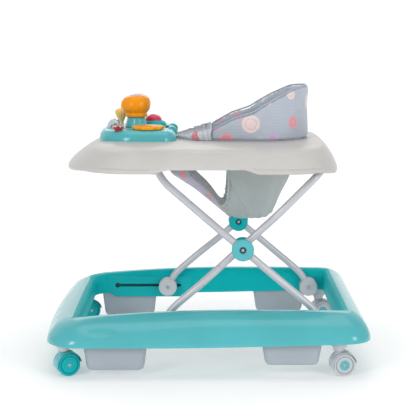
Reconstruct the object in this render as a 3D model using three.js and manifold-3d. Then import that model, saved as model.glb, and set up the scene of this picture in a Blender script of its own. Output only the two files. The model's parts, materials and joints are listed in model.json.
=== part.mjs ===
// Baby walker: a moulded base ring on four swivel casters, two U-shaped tubes
// crossing as a scissor on each side, a play tray that they raise and lower,
// a hanging seat with a padded backrest, and a toy bar with a knob, a rattle,
// buttons, a flower disc and a roller.
// Millimetres, +Z up, -X is the front (toy bar), the origin is on the floor
// below the middle of the base.
import * as THREE from 'three';
import { mergeVertices } from 'three/addons/utils/BufferGeometryUtils.js';
import Module from 'manifold-3d';

const wasm = await Module();
wasm.setup();

// ---------------------------------------------------------------- dimensions

const GAP = 0.3; // air between pieces that touch
const WALL = 3; // wall of the base and tray mouldings
const SIDES = [
  { name: 'left', sign: -1 },
  { name: 'right', sign: 1 },
];

const BASE = {
  outer: { front: -350, rear: 350, half: 300, frontRadius: 72, rearRadius: 52, bow: 16 },
  inner: { front: -274, rear: 290, half: 216, frontRadius: 30, rearRadius: 14, bow: 0 },
  sideWidth: 84, // across one side member
  ridge: 138.5, // top of the base, highest a little behind the hub
  skirt: 70, // lower edge at the front; the rear is 10 higher
  nominalHeight: 68,
};
const SLOT = { front: -223.5, rear: -63, z: 96, height: 9.2 };
const TRACK = { // the plate round the slot, with its lower corners cut off
  front: -242, rear: -36, top: 106, foot: 67, frontCut: [14, 17], rearCut: [24, 11],
};
const RIB_X = [-264.5, -45, 104]; // cross ribs inside the side members
const STOPPER_WIDTH = { inside: 224, outside: 278, top: 99.7 };
const STOPPERS = [
  { name: 'front', x: -192, halfLength: 69, foot: 14 },
  { name: 'rear', x: 182, halfLength: 65, foot: 25 },
];

const TUBE = { radius: 8, bore: 6.6, y: 201, innerY: 184, topY: 178, sides: 8, boreSides: 6 };
const HUB = { x: 79, z: 262 }; // scissor crossing
const PIVOT = { x: 253, z: 96 }; // fixed rear pivot in the base
const SLIDER = { x: 2 * HUB.x - PIVOT.x, z: PIVOT.z }; // sliding front foot
const FRONT_BAR = { x: -109, z: 450 }; // cross bar under the toy bar
const REAR_BAR = { x: 2 * HUB.x - FRONT_BAR.x, z: FRONT_BAR.z };
const FOOT = { radius: 22, inside: 187.4, outside: 214.4 }; // plastic tube ends
const PIN_RADIUS = 4;
const PIN_HOLE = PIN_RADIUS + 0.4;
const STEM_HOLE = PIN_RADIUS + 0.6; // the caster stems turn in it
const SPIGOT = { radius: 2.9, hole: 3.4 }; // turning toys on the toy bar

const CASTER = {
  frontX: -303, rearX: 283, y: 254, trail: 9, wheelRadius: 24.5,
  frontYaw: 24, rearYaw: 10, hoodRadius: 28, halfWidth: 17,
};

const TRAY = {
  foot: { front: -309, rear: 297, half: 260, frontRadius: 128, rearRadius: 80, bow: 16 },
  rim: { front: -244, rear: 262, half: 222, frontRadius: 98, rearRadius: 62, bow: 13 },
  opening: { front: -64, rear: 222, half: 106, frontRadius: 100, rearRadius: 100, bow: 0 },
  top: 486, slopeWidth: 38, deckWidth: 116,
};

const SLING_WALL = 3;
const BACKREST = {
  front: 9, rear: 232, half: 118, frontHalf: 95, thickness: 15, foot: 486.4,
};
const TOY_DECK = 509; // top of the toy bar moulding
const TOYS = {
  neck: { x: -158, y: 0 },
  rattle: { x: -204, y: -32, bead: 5 },
  platform: { x: -121, y: 44 },
  flower: { x: -128, y: -78, radius: 36 },
  smallButton: { x: -193, y: -92 },
  bell: { x: -196, y: 50 },
  roller: { x: -78, z: 501, radius: 10, half: 35 },
};

const CATCH_X = FRONT_BAR.x + 19; // the height catch, behind the cross bar
const NOTCH_SHIFTS = [0, 19, 38, 57, 138.8]; // the cross bar's travel to each height, and folded
const SPRING = { wire: 0.6, catchRadius: 7.2, buttonRadius: 10 };

// ------------------------------------------------------------------ materials

function plastic(color, roughness) {
  return new THREE.MeshStandardMaterial({ color, roughness, metalness: 0 });
}

function metal(color, roughness, metalness) {
  return new THREE.MeshStandardMaterial({ color, roughness, metalness });
}

const TEAL = plastic(0x2fa9ab, 0.28);
const TRAY_GREY = plastic(0xcecdca, 0.35);
const STOPPER_GREY = plastic(0xaeb4be, 0.6);
const LIGHT_GREY = plastic(0xc4c8cc, 0.4);
const FABRIC = plastic(0xb4bec9, 0.9);
const SLING_FABRIC = plastic(0x9aa09f, 0.9);
const ORANGE = plastic(0xf59b12, 0.3);
const YELLOW = plastic(0xf0a82a, 0.35);
const PALE_YELLOW = plastic(0xf6c878, 0.35);
const CRIMSON = plastic(0xd93a5f, 0.3);
const RED = plastic(0xb01c28, 0.4);
const CLEAR = plastic(0xd5dbe2, 0.1);
const BOARD = plastic(0x8a8f94, 0.7);
const PAINTED_STEEL = metal(0xc9cacf, 0.35, 0.3);
const STEEL = metal(0xb6b9bc, 0.3, 1);

// ------------------------------------------------------------- solid modelling

function solidOf(geometry) {
  const bare = geometry.clone();
  bare.deleteAttribute('normal');
  bare.deleteAttribute('uv');
  const merged = mergeVertices(bare, 1e-3);
  const vertProperties = new Float32Array(merged.attributes.position.array);
  const triVerts = outwardIndex(vertProperties, new Uint32Array(merged.index.array));
  return new wasm.Manifold(new wasm.Mesh({ numProp: 3, vertProperties, triVerts }));
}

// Drops triangles without area and turns the others so that they face out.
function outwardIndex(positions, index) {
  const kept = [];
  let volume = 0;
  const corner = (vertex) => new THREE.Vector3().fromArray(positions, 3 * vertex);
  for (let i = 0; i < index.length; i += 3) {
    const [a, b, c] = [index[i], index[i + 1], index[i + 2]];
    if (a === b || b === c || c === a) continue;
    kept.push(a, b, c);
    volume += corner(a).dot(corner(b).cross(corner(c)));
  }
  if (volume > 0) return new Uint32Array(kept);
  return new Uint32Array(kept.reverse());
}

function geometryOf(solid) {
  const mesh = solid.getMesh();
  const geometry = new THREE.BufferGeometry();
  geometry.setAttribute('position', new THREE.BufferAttribute(mesh.vertProperties, 3));
  geometry.setIndex(new THREE.BufferAttribute(mesh.triVerts, 1));
  return geometry;
}

function join(...solids) {
  return solids.reduce((whole, solid) => whole.add(solid));
}

function cut(solid, ...tools) {
  return tools.reduce((rest, tool) => rest.subtract(tool), solid);
}

// -------------------------------------------------------------- basic solids

// The stretch of Y from `near` to `far` of the middle, on the side of `sign`.
function span(sign, near, far) {
  return sign > 0 ? [near, far] : [-far, -near];
}

function block(x0, x1, y0, y1, z0, z1) {
  const geometry = new THREE.BoxGeometry(x1 - x0, y1 - y0, z1 - z0);
  geometry.translate((x0 + x1) / 2, (y0 + y1) / 2, (z0 + z1) / 2);
  return solidOf(geometry);
}

// A rod along Z; its flats are set so that one faces along each main axis.
function rodZ(radius, x, y, z0, z1, sides = 12) {
  const corner = radius / Math.cos(Math.PI / sides);
  const geometry = new THREE.CylinderGeometry(corner, corner, z1 - z0, sides);
  geometry.rotateY(Math.PI / sides);
  geometry.rotateX(Math.PI / 2);
  geometry.translate(x, y, (z0 + z1) / 2);
  return solidOf(geometry);
}

function rodY(radius, x, z, y0, y1, sides = 12) {
  const corner = radius / Math.cos(Math.PI / sides);
  const geometry = new THREE.CylinderGeometry(corner, corner, Math.abs(y1 - y0), sides);
  geometry.rotateY(Math.PI / sides);
  geometry.translate(x, (y0 + y1) / 2, z);
  return solidOf(geometry);
}

// A flat outline in X and Z, extruded from y0 to y1.
function prismY(outline, y0, y1) {
  const shape = new THREE.Shape(outline.map(([x, z]) => new THREE.Vector2(x, z)));
  const geometry = new THREE.ExtrudeGeometry(shape, { depth: y1 - y0, bevelEnabled: false });
  geometry.rotateX(Math.PI / 2);
  geometry.translate(0, y1, 0);
  return solidOf(geometry);
}

// A turned solid about a vertical axis, from a profile of [radius, z].
function turned(profile, x, y, sides = 16) {
  const points = profile.map(([radius, z]) => new THREE.Vector2(radius, z));
  const geometry = new THREE.LatheGeometry(points, sides);
  geometry.rotateX(Math.PI / 2);
  geometry.translate(x, y, 0);
  return solidOf(geometry);
}

// The same about an axis along Y: the profile is [radius, distance along Y].
function turnedY(profile, x, z, sides = 16) {
  const points = profile.map(([radius, along]) => new THREE.Vector2(radius, along));
  const geometry = new THREE.LatheGeometry(points, sides);
  geometry.translate(x, 0, z);
  return solidOf(geometry);
}

// Skins a row of rings with the same number of points. An open row is capped.
function loft(rings, closedRow) {
  const count = rings[0].length;
  const points = rings.flat();
  const index = [];
  const bands = closedRow ? rings.length : rings.length - 1;
  for (let ring = 0; ring < bands; ring += 1) {
    const here = ring * count;
    const next = ((ring + 1) % rings.length) * count;
    for (let i = 0; i < count; i += 1) {
      const j = (i + 1) % count;
      index.push(here + i, here + j, next + j);
      index.push(here + i, next + j, next + i);
    }
  }
  if (!closedRow) {
    capRing(points, index, 0, count, true);
    capRing(points, index, (rings.length - 1) * count, count, false);
  }
  const geometry = new THREE.BufferGeometry();
  geometry.setAttribute('position', new THREE.Float32BufferAttribute(points.flatMap((p) => p.toArray()), 3));
  geometry.setIndex(index);
  return solidOf(geometry);
}

function capRing(points, index, start, count, atStart) {
  const middle = new THREE.Vector3();
  for (let i = 0; i < count; i += 1) middle.addScaledVector(points[start + i], 1 / count);
  const centre = points.push(middle) - 1;
  for (let i = 0; i < count; i += 1) {
    const here = start + i;
    const next = start + ((i + 1) % count);
    if (atStart) index.push(centre, next, here);
    else index.push(centre, here, next);
  }
}

// A path that passes exactly through its points, one per extrusion step.
class PointPath extends THREE.Curve {
  constructor(points) {
    super();
    this.points = points;
  }

  getPointAt(u, target = new THREE.Vector3()) {
    const last = this.points.length - 1;
    const at = Math.min(Math.round(u * last), last);
    return target.copy(this.points[at]);
  }

  getTangentAt(u, target = new THREE.Vector3()) {
    const last = this.points.length - 1;
    const at = Math.min(Math.round(u * last), last);
    const before = this.points[Math.max(at - 1, 0)];
    const after = this.points[Math.min(at + 1, last)];
    return target.subVectors(after, before).normalize();
  }
}

const DEGREES_PER_BEND = THREE.MathUtils.degToRad(24);

// Replaces each inner corner of a route by a bend that starts `reach` before it.
function bent(route, reach) {
  const points = [route[0].clone()];
  for (let i = 1; i < route.length - 1; i += 1) {
    const corner = route[i];
    const toBefore = route[i - 1].clone().sub(corner);
    const toAfter = route[i + 1].clone().sub(corner);
    const start = toBefore.clone().setLength(Math.min(reach, 0.45 * toBefore.length())).add(corner);
    const end = toAfter.clone().setLength(Math.min(reach, 0.45 * toAfter.length())).add(corner);
    const turn = Math.PI - toBefore.angleTo(toAfter);
    const steps = Math.max(1, Math.ceil(turn / DEGREES_PER_BEND));
    points.push(...new THREE.QuadraticBezierCurve3(start, corner, end).getPoints(steps));
  }
  points.push(route[route.length - 1].clone());
  return points;
}

function circleShape(radius, sides, Kind = THREE.Shape) {
  const points = [];
  for (let i = 0; i < sides; i += 1) {
    const angle = (2 * Math.PI * (i + 0.5)) / sides;
    points.push(new THREE.Vector2(radius * Math.cos(angle), radius * Math.sin(angle)));
  }
  return new Kind(points);
}

function sweep(points, radius, sides, bore = 0, boreSides = 6) {
  const shape = circleShape(radius, sides);
  if (bore > 0) shape.holes.push(circleShape(bore, boreSides, THREE.Path));
  const path = new PointPath(points);
  const options = { steps: points.length - 1, extrudePath: path, bevelEnabled: false };
  return solidOf(new THREE.ExtrudeGeometry(shape, options));
}

function coil(x, y, z0, z1, radius, turns) {
  const { wire } = SPRING;
  const points = [];
  const perTurn = 8;
  const total = Math.round(turns * perTurn);
  for (let i = 0; i <= total; i += 1) {
    const angle = (2 * Math.PI * i) / perTurn;
    const z = THREE.MathUtils.lerp(z0 + wire, z1 - wire, i / total);
    points.push(new THREE.Vector3(x + radius * Math.cos(angle), y + radius * Math.sin(angle), z));
  }
  return sweep(points, wire, 4);
}

// ----------------------------------------------------------- plan-view loops

const CORNER_STEPS = 5;
const STRAIGHT_STEPS = 4;

// A rounded rectangle in plan. The front edge is bowed forward by `bow`.
function planLoop({ front, rear, half, frontRadius, rearRadius, bow }) {
  const corners = [
    { x: rear - rearRadius, y: half - rearRadius, radius: rearRadius, start: 0 },
    { x: front + frontRadius, y: half - frontRadius, radius: frontRadius, start: 90 },
    { x: front + frontRadius, y: frontRadius - half, radius: frontRadius, start: 180 },
    { x: rear - rearRadius, y: rearRadius - half, radius: rearRadius, start: 270 },
  ];
  const arcs = corners.map(({ x, y, radius, start }) => {
    const arc = [];
    for (let i = 0; i <= CORNER_STEPS; i += 1) {
      const angle = THREE.MathUtils.degToRad(start + (90 * i) / CORNER_STEPS);
      arc.push(new THREE.Vector2(x + radius * Math.cos(angle), y + radius * Math.sin(angle)));
    }
    return arc;
  });
  const loop = [];
  arcs.forEach((arc, i) => {
    const next = arcs[(i + 1) % arcs.length][0];
    const end = arc[arc.length - 1];
    loop.push(...arc);
    for (let j = 1; j < STRAIGHT_STEPS; j += 1) loop.push(end.clone().lerp(next, j / STRAIGHT_STEPS));
  });
  return loop.map((p) => {
    const towardsFront = Math.max(0, p.x / front) ** 2;
    return new THREE.Vector2(p.x + bow * towardsFront * (p.y / half) ** 2, p.y);
  });
}

// Eases between [position, value] knots.
function eased(knots, position) {
  if (position <= knots[0][0]) return knots[0][1];
  for (let i = 1; i < knots.length; i += 1) {
    const [x0, value0] = knots[i - 1];
    const [x1, value1] = knots[i];
    if (position <= x1) {
      const t = (position - x0) / (x1 - x0);
      return value0 + (value1 - value0) * t * t * (3 - 2 * t);
    }
  }
  return knots[knots.length - 1][1];
}

// A wall section: an outline of [across, up] and its copy set in by `thickness`.
function wallSection(outline, thickness) {
  const points = outline.map(([across, up]) => new THREE.Vector2(across, up));
  const last = points.length - 1;
  const inside = points.map((point, i) => {
    if (i === 0) return new THREE.Vector2(point.x + thickness, point.y);
    if (i === last) return new THREE.Vector2(point.x - thickness, point.y);
    const before = point.clone().sub(points[i - 1]).normalize();
    const after = points[i + 1].clone().sub(point).normalize();
    const normalBefore = new THREE.Vector2(before.y, -before.x);
    const normalAfter = new THREE.Vector2(after.y, -after.x);
    const middle = normalBefore.clone().add(normalAfter).normalize();
    const reach = thickness / Math.max(middle.dot(normalBefore), 0.5);
    return point.clone().addScaledVector(middle, reach);
  });
  return [...points, ...inside.reverse()];
}

// ------------------------------------------------------------------ base ring

const BASE_OUTLINE = [
  [0, 0], [2.5, 15], [12, 34], [27, 52], [46, 64], [60, 68], [74, 64.5], [84, 46], [84, 7],
];

function ridgeHeight(x) {
  const behind = Math.max(x - 70, 0) / 280;
  const ahead = Math.min(x - 70, 0) / 295;
  return BASE.ridge - 3 * behind ** 2 - 11 * ahead ** 2;
}

function skirtHeight(x) {
  return BASE.skirt + 10 * Math.max((x + 100) / 450, 0) ** 1.5;
}

function baseRing(section) {
  const outer = planLoop(BASE.outer);
  const inner = planLoop(BASE.inner);
  const rings = outer.map((edge, i) => section.map(({ x: across, y: up }) => {
    const at = edge.clone().lerp(inner[i], across / BASE.sideWidth);
    const low = skirtHeight(edge.x);
    const z = low + (up / BASE.nominalHeight) * (ridgeHeight(edge.x) - low);
    return new THREE.Vector3(at.x, at.y, z);
  }));
  return loft(rings, true);
}

// A stretch of Y that runs well through the inner wall.
function innerWall(sign) {
  return span(sign, BASE.inner.half - 4, BASE.inner.half + 8);
}

// The inner wall is cut away on each side, from its lower edge up, for a slide track.
function trackNotch(sign) {
  const { front, rear, top, foot } = TRACK;
  return block(front - GAP, rear + GAP, ...innerWall(sign), foot, top + GAP);
}

// A slotted plate in the notch of the inner wall. It is deeper than the wall.
function slideTrack(sign) {
  const { front, rear, top, foot, frontCut, rearCut } = TRACK;
  const outline = [
    [front, top], [front, foot + frontCut[1]], [front + frontCut[0], foot],
    [rear - rearCut[0], foot], [rear, foot + rearCut[1]], [rear, top],
  ];
  const plate = prismY(outline, ...span(sign, BASE.inner.half, BASE.inner.half + WALL));
  return cut(plate, slotTool(sign));
}

function slotTool(sign) {
  const radius = SLOT.height / 2;
  const front = SLOT.front + radius;
  const rear = SLOT.rear - radius;
  const through = innerWall(sign);
  return join(
    block(front, rear, ...through, SLOT.z - radius, SLOT.z + radius),
    rodY(radius, front, SLOT.z, ...through, 8),
    rodY(radius, rear, SLOT.z, ...through, 8),
  );
}

function baseFrame() {
  const shell = baseRing(wallSection(BASE_OUTLINE, WALL));
  const filled = BASE_OUTLINE.map(([across, up]) => new THREE.Vector2(
    THREE.MathUtils.clamp(across, 1.5, BASE.sideWidth - 1.5), Math.max(up - 1.5, 7),
  ));
  const channel = baseRing(filled);
  const casterX = [CASTER.frontX, CASTER.rearX];
  const stiffeners = [];
  const tools = [];
  for (const { sign } of SIDES) {
    const across = span(sign, 217, 299);
    const seat = span(sign, 239, 263);
    RIB_X.forEach((x) => stiffeners.push(block(x - 1.5, x + 1.5, ...across, 92, 140)));
    STOPPERS.forEach(({ x }) => stiffeners.push(block(x - 16, x + 16, ...seat, 100, 140)));
    casterX.forEach((x) => stiffeners.push(rodZ(14, x, sign * CASTER.y, 83, 140, 10)));
    tools.push(trackNotch(sign));
    tools.push(rodY(PIN_HOLE, PIVOT.x, PIVOT.z, ...innerWall(sign), 10));
    casterX.forEach((x) => tools.push(rodZ(STEM_HOLE, x, sign * CASTER.y, 80, 100, 8)));
  }
  const inside = join(...stiffeners).intersect(channel);
  return cut(join(shell, inside), ...tools);
}

// ------------------------------------------------- stoppers under the base

function roundedRect(x0, x1, y0, y1, radius, z) {
  const points = [];
  const corners = [[x1 - radius, y1 - radius, 0], [x0 + radius, y1 - radius, 90],
    [x0 + radius, y0 + radius, 180], [x1 - radius, y0 + radius, 270]];
  for (const [x, y, start] of corners) {
    for (let i = 0; i <= 2; i += 1) {
      const angle = THREE.MathUtils.degToRad(start + 45 * i);
      points.push(new THREE.Vector3(x + radius * Math.cos(angle), y + radius * Math.sin(angle), z));
    }
  }
  return points;
}

// A tapered box, open at the top: narrower at its foot, with rounded lower edges.
function stopper({ x, halfLength, foot }, sign) {
  const { inside: near, outside: far, top } = STOPPER_WIDTH;
  const level = (inset, narrow, z) => {
    const across = span(sign, near + narrow, far - narrow);
    return roundedRect(x - halfLength + inset, x + halfLength - inset, ...across, 9, z);
  };
  const outer = [level(0, 0, top), level(2, 1, 70), level(7, 4, foot + 9), level(15, 11, foot)];
  const inner = [
    level(WALL, WALL, top),
    level(7 + WALL, 4 + WALL, foot + 11),
    level(15 + WALL, 11 + WALL, foot + WALL),
  ];
  return loft([...inner.reverse(), ...outer], false);
}

// ---------------------------------------------------------------- casters

function casterCollar() {
  return turned([
    [STEM_HOLE, 53.2], [11, 53.2], [12.5, 60], [17, 66], [17, 82.7], [STEM_HOLE, 82.7], [STEM_HOLE, 53.2],
  ], 0, 0, 12);
}

// The hood covers both wheels; its stem turns in the collar.
function casterHood() {
  const { trail, wheelRadius, hoodRadius, halfWidth } = CASTER;
  const web = 3;
  const cover = cut(
    rodY(hoodRadius, trail, wheelRadius, -halfWidth, halfWidth, 18),
    prismY([[-30, -10], [60, -10], [60, 34], [-30, 16]], -20, 20),
  );
  const body = join(
    cover,
    rodZ(9, 0, 0, 40, 52.8, 10),
    rodY(8, trail, wheelRadius, -web, web, 10),
  );
  const room = [-1, 1].map((side) => {
    const reach = span(side, web, halfWidth + 1);
    return rodY(wheelRadius + 1.2, trail, wheelRadius, ...reach, 18);
  });
  const stem = rodZ(PIN_RADIUS, 0, 0, 49, 98, 8);
  const axleHole = rodY(3.6, trail, wheelRadius, -web - 1, web + 1, 10);
  return cut(join(cut(body, ...room), stem), axleHole);
}

// Two wheels on one axle. A flat of each tread faces down.
function casterWheels() {
  const { trail, wheelRadius } = CASTER;
  const wheels = [-1, 1].map((side) => rodY(wheelRadius, trail, wheelRadius, ...span(side, 4, 15), 20));
  return join(...wheels, rodY(3, trail, wheelRadius, -5, 5, 10));
}

// ------------------------------------------------------------ scissor tubes

function at({ x, z }, y) {
  return new THREE.Vector3(x, y, z);
}

// A point `distance` from the hub at `degrees` above +X.
function fromHub(distance, degrees) {
  const angle = THREE.MathUtils.degToRad(degrees);
  return { x: HUB.x + distance * Math.cos(angle), z: HUB.z + distance * Math.sin(angle) };
}

// Where the tube ends inside its foot, short of the pin.
function footStart(foot, degrees) {
  const angle = THREE.MathUtils.degToRad(degrees);
  return { x: foot.x + 6 * Math.cos(angle), z: foot.z + 6 * Math.sin(angle) };
}

const FOOT_ANGLE = { rear: 118, front: 62 };

// Both legs and the cross bar of one tube, from the left foot to the right foot.
function uTube(leg) {
  const left = leg.map(({ x, z, y }) => new THREE.Vector3(x, -y, z));
  const right = leg.map(({ x, z, y }) => new THREE.Vector3(x, y, z)).reverse();
  const points = bent([...left, ...right], 30);
  const tube = sweep(points, TUBE.radius, TUBE.sides, TUBE.bore, TUBE.boreSides);
  const holes = SIDES.map(({ sign }) => rodY(PIN_HOLE, HUB.x, HUB.z, ...span(sign, 160, 230), 10));
  return cut(tube, ...holes);
}

// Rear foot, hub, front cross bar: the outer tube.
function frontLiftTube() {
  const y = TUBE.y;
  return uTube([
    { ...footStart(PIVOT, FOOT_ANGLE.rear), y },
    { ...fromHub(202, -40.2), y },
    { ...fromHub(60, 139.8), y },
    { ...fromHub(230, 139.8), y: TUBE.topY + 3 },
    { ...FRONT_BAR, y: TUBE.topY },
  ]);
}

// Front foot, hub, rear cross bar: it steps inward to pass the outer tube.
function rearLiftTube() {
  const y = TUBE.y;
  return uTube([
    { ...footStart(SLIDER, FOOT_ANGLE.front), y },
    { ...fromHub(202, 220.2), y },
    { ...fromHub(108, 220.2), y },
    { ...fromHub(58, 220.2), y: TUBE.innerY },
    { ...fromHub(58, 45.1), y: TUBE.innerY },
    { ...fromHub(108, 45.1), y },
    { ...REAR_BAR, y },
  ]);
}

// The round plastic end of a tube, bored for the tube and for its pin.
function tubeFoot(foot, degrees, sign) {
  const angle = THREE.MathUtils.degToRad(degrees);
  const along = new THREE.Vector3(Math.cos(angle), 0, Math.sin(angle));
  const start = at(foot, sign * TUBE.y).addScaledVector(along, 5.5);
  const end = start.clone().addScaledVector(along, 30);
  const socket = sweep([start, end], TUBE.radius + 0.4, 8);
  const disc = rodY(FOOT.radius, foot.x, foot.z, ...span(sign, FOOT.inside, FOOT.outside), 20);
  const pinHole = rodY(PIN_HOLE, foot.x, foot.z, ...span(sign, FOOT.inside - 1, FOOT.outside + 1), 10);
  return cut(disc, socket, pinHole);
}

// A pin through a foot and the wall of the base, with its head behind the wall.
function footPin(foot, sign) {
  return join(
    rodY(PIN_RADIUS, foot.x, foot.z, ...span(sign, 186.6, 222.2), 10),
    rodY(7.5, foot.x, foot.z, ...span(sign, 219.5, 222.2), 10),
  );
}

function hubCap(sign, inside) {
  const [touch, face, radius] = inside ? [175.6, 170.6, 22.7] : [209.4, 214.6, 24];
  const deep = THREE.MathUtils.lerp(face, touch, 0.3);
  const profile = [
    [PIN_HOLE, touch], [radius, touch], [radius, deep], [radius - 3, face],
    [7, face], [7, deep], [PIN_HOLE, deep], [PIN_HOLE, touch],
  ];
  return turnedY(profile.map(([r, y]) => [r, sign * y]), HUB.x, HUB.z, 16);
}

function hubRivet(sign) {
  return join(
    rodY(PIN_RADIUS, HUB.x, HUB.z, ...span(sign, 171, 214.2), 10),
    rodY(6.5, HUB.x, HUB.z, ...span(sign, 213.3, 214.4), 10),
    rodY(6.5, HUB.x, HUB.z, ...span(sign, 170.8, 171.8), 10),
  );
}

// --------------------------------------------------------------------- tray

// Lower edge of the tray: lowest at both ends and at two lobes on each side.
const TRAY_EDGE = [
  [-309, 421], [-250, 433], [-130, 433], [-60, 437], [60, 437], [120, 431], [235, 431], [297, 417],
];

// From the lower edge up the slope, over the deck and down the opening's flange.
const TRAY_OUTLINE = [
  [0, 0], [3.4, 10.5], [16.7, 30.5], [33.4, 50.5], [36, 53.8], [42, 55.5], [154, 55.5], [154, 38],
];

function tray() {
  const foot = planLoop(TRAY.foot);
  const rim = planLoop(TRAY.rim);
  const opening = planLoop(TRAY.opening);
  const height = TRAY_OUTLINE[5][1];
  const section = wallSection(TRAY_OUTLINE, WALL);
  const rings = foot.map((edge, i) => section.map(({ x: across, y: up }) => {
    const onSlope = across < TRAY.slopeWidth;
    const share = onSlope ? across / TRAY.slopeWidth : (across - TRAY.slopeWidth) / TRAY.deckWidth;
    const plan = onSlope ? edge.clone().lerp(rim[i], share) : rim[i].clone().lerp(opening[i], share);
    const low = eased(TRAY_EDGE, edge.x);
    const level = up > height - 2 * WALL || !onSlope;
    const z = level ? TRAY.top - height + up : low + (up / height) * (TRAY.top - low);
    return new THREE.Vector3(plan.x, plan.y, z);
  }));
  return loft(rings, true);
}

// A slotted plate under the deck in which the front cross bar slides.
function trayRail(sign) {
  const outline = [[-266, 437], [-92, 437], [-92, 482.6], [-232, 482.6], [-258, 462], [-266, 454]];
  const slot = [[-257.5, 441], [-98, 441], [-98, 459], [-257.5, 459]];
  return cut(prismY(outline, ...span(sign, 92, 98)), prismY(slot, ...span(sign, 91, 99)));
}

// The toothed strip that the catch locks into, one notch per height and one for the folded walker.
function latchRack() {
  const strip = prismY([[-250, 466], [-72, 466], [-72, 482.6], [-232, 482.6], [-250, 470]], -6, 6);
  const notches = NOTCH_SHIFTS.map((shift) => {
    const x = CATCH_X - shift;
    return block(x - 4.5, x + 4.5, -7, 7, 465, 473);
  });
  return cut(strip, ...notches);
}

function trayBracket(sign) {
  const outline = [[250, 439], [277.5, 439], [277.5, 451], [262, 472], [256, 482.6], [250, 482.6]];
  const hole = rodY(TUBE.radius + 0.5, REAR_BAR.x, REAR_BAR.z, ...span(sign, 89, 103), 12);
  return cut(prismY(outline, ...span(sign, 90, 102)), hole);
}

// ---------------------------------------------------------- height catch

function latchCarriage() {
  const { x, z } = FRONT_BAR;
  const body = prismY([[x - 22, 433], [x + 30, 433], [x + 30, 461], [x - 9, 461], [x - 22, 448]], -22, 22);
  return cut(
    body,
    rodY(TUBE.radius + 0.5, x, z, -23, 23, 12),
    block(x + 10.5, x + 31, -9.5, 9.5, 437, 456),
    block(CATCH_X - 3.7, CATCH_X + 3.7, -5.7, 5.7, 432, 462),
  );
}

function latchCatch() {
  const { x } = FRONT_BAR;
  return join(
    block(CATCH_X - 3, CATCH_X + 3, -5, 5, 413, 465),
    block(CATCH_X - 6.5, CATCH_X + 7.5, -8.5, 8.5, 445, 448.5),
    block(x - 10, CATCH_X + 3, -5, 5, 410, 418),
    block(x - 32, x - 6, -20, 20, 402, 415),
  );
}

// --------------------------------------------------------------------- seat

// Levels of the hanging seat from its hem to its lowest point: front and rear
// at the middle, and half its width.
const SLING_LEVELS = [
  { z: 484, front: -60, rear: 218, half: 102 },
  { z: 462, front: -60, rear: 216, half: 102 },
  { z: 436, front: -72, rear: 210, half: 101 },
  { z: 405, front: -82, rear: 194, half: 96 },
  { z: 370, front: -30, rear: 178, half: 88 },
  { z: 340, front: 17, rear: 163, half: 78 },
  { z: 318, front: 52, rear: 153, half: 62 },
  { z: 308, front: 72, rear: 140, half: 36 },
];

// Outline of a leg opening in side view, above the crotch strap.
const LEG_OPENING = [
  [-50, 446], [44, 446], [51, 400], [48, 350], [41, 335], [30, 338], [3, 372], [-38, 408],
];

function slingRing({ z, front, rear, half }, inset, lift) {
  const radius = Math.min(half - 6, (rear - front) / 2 - 1) - inset;
  const loop = planLoop({
    front: front + inset,
    rear: rear - inset,
    half: half - inset,
    frontRadius: radius,
    rearRadius: radius,
    bow: 0,
  });
  return loop.filter((_, i) => i % 2 === 0).map((p) => new THREE.Vector3(p.x, p.y, z + lift));
}

function seatSling() {
  const inner = SLING_LEVELS.map((level) => slingRing(level, SLING_WALL, level.z < 350 ? SLING_WALL : 0));
  const outer = SLING_LEVELS.map((level) => slingRing(level, 0, 0));
  return cut(loft([...inner.reverse(), ...outer], false), prismY(LEG_OPENING, -130, 130));
}

// A plastic hoop in the hem of the seat, held by the flange of the tray.
function seatHoop() {
  const ring = (inset, z) => slingRing({ z, ...TRAY.opening }, inset, 0);
  const thickness = TRAY.opening.half - SLING_LEVELS[0].half - 2 * GAP;
  return loft([ring(GAP, 472), ring(GAP, 480), ring(thickness, 480), ring(thickness, 472)], true);
}

// Height of the backrest's upper edge along the seat.
const BACKREST_TOP = [[9, 511], [60, 538], [100, 551], [150, 579], [200, 602], [232, 607]];

function linear(knots, position) {
  for (let i = 1; i < knots.length; i += 1) {
    const [x0, value0] = knots[i - 1];
    const [x1, value1] = knots[i];
    if (position <= x1) return THREE.MathUtils.lerp(value0, value1, Math.max(position - x0, 0) / (x1 - x0));
  }
  return knots[knots.length - 1][1];
}

// The plan of the backrest: two slightly closing wings and a round back.
function backrestPlan() {
  const { front, rear, half, frontHalf } = BACKREST;
  const centre = rear - half;
  const points = [];
  const wingSteps = 4;
  const backSteps = 12;
  for (let i = 0; i < wingSteps; i += 1) {
    const t = i / wingSteps;
    const x = THREE.MathUtils.lerp(front, centre, t);
    points.push(new THREE.Vector2(x, -THREE.MathUtils.lerp(frontHalf, half, t ** 0.6)));
  }
  for (let i = 0; i <= backSteps; i += 1) {
    const angle = Math.PI * (i / backSteps - 0.5);
    points.push(new THREE.Vector2(centre + half * Math.cos(angle), half * Math.sin(angle)));
  }
  const wing = points.slice(0, wingSteps).reverse();
  return [...points, ...wing.map((p) => new THREE.Vector2(p.x, -p.y))];
}

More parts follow.
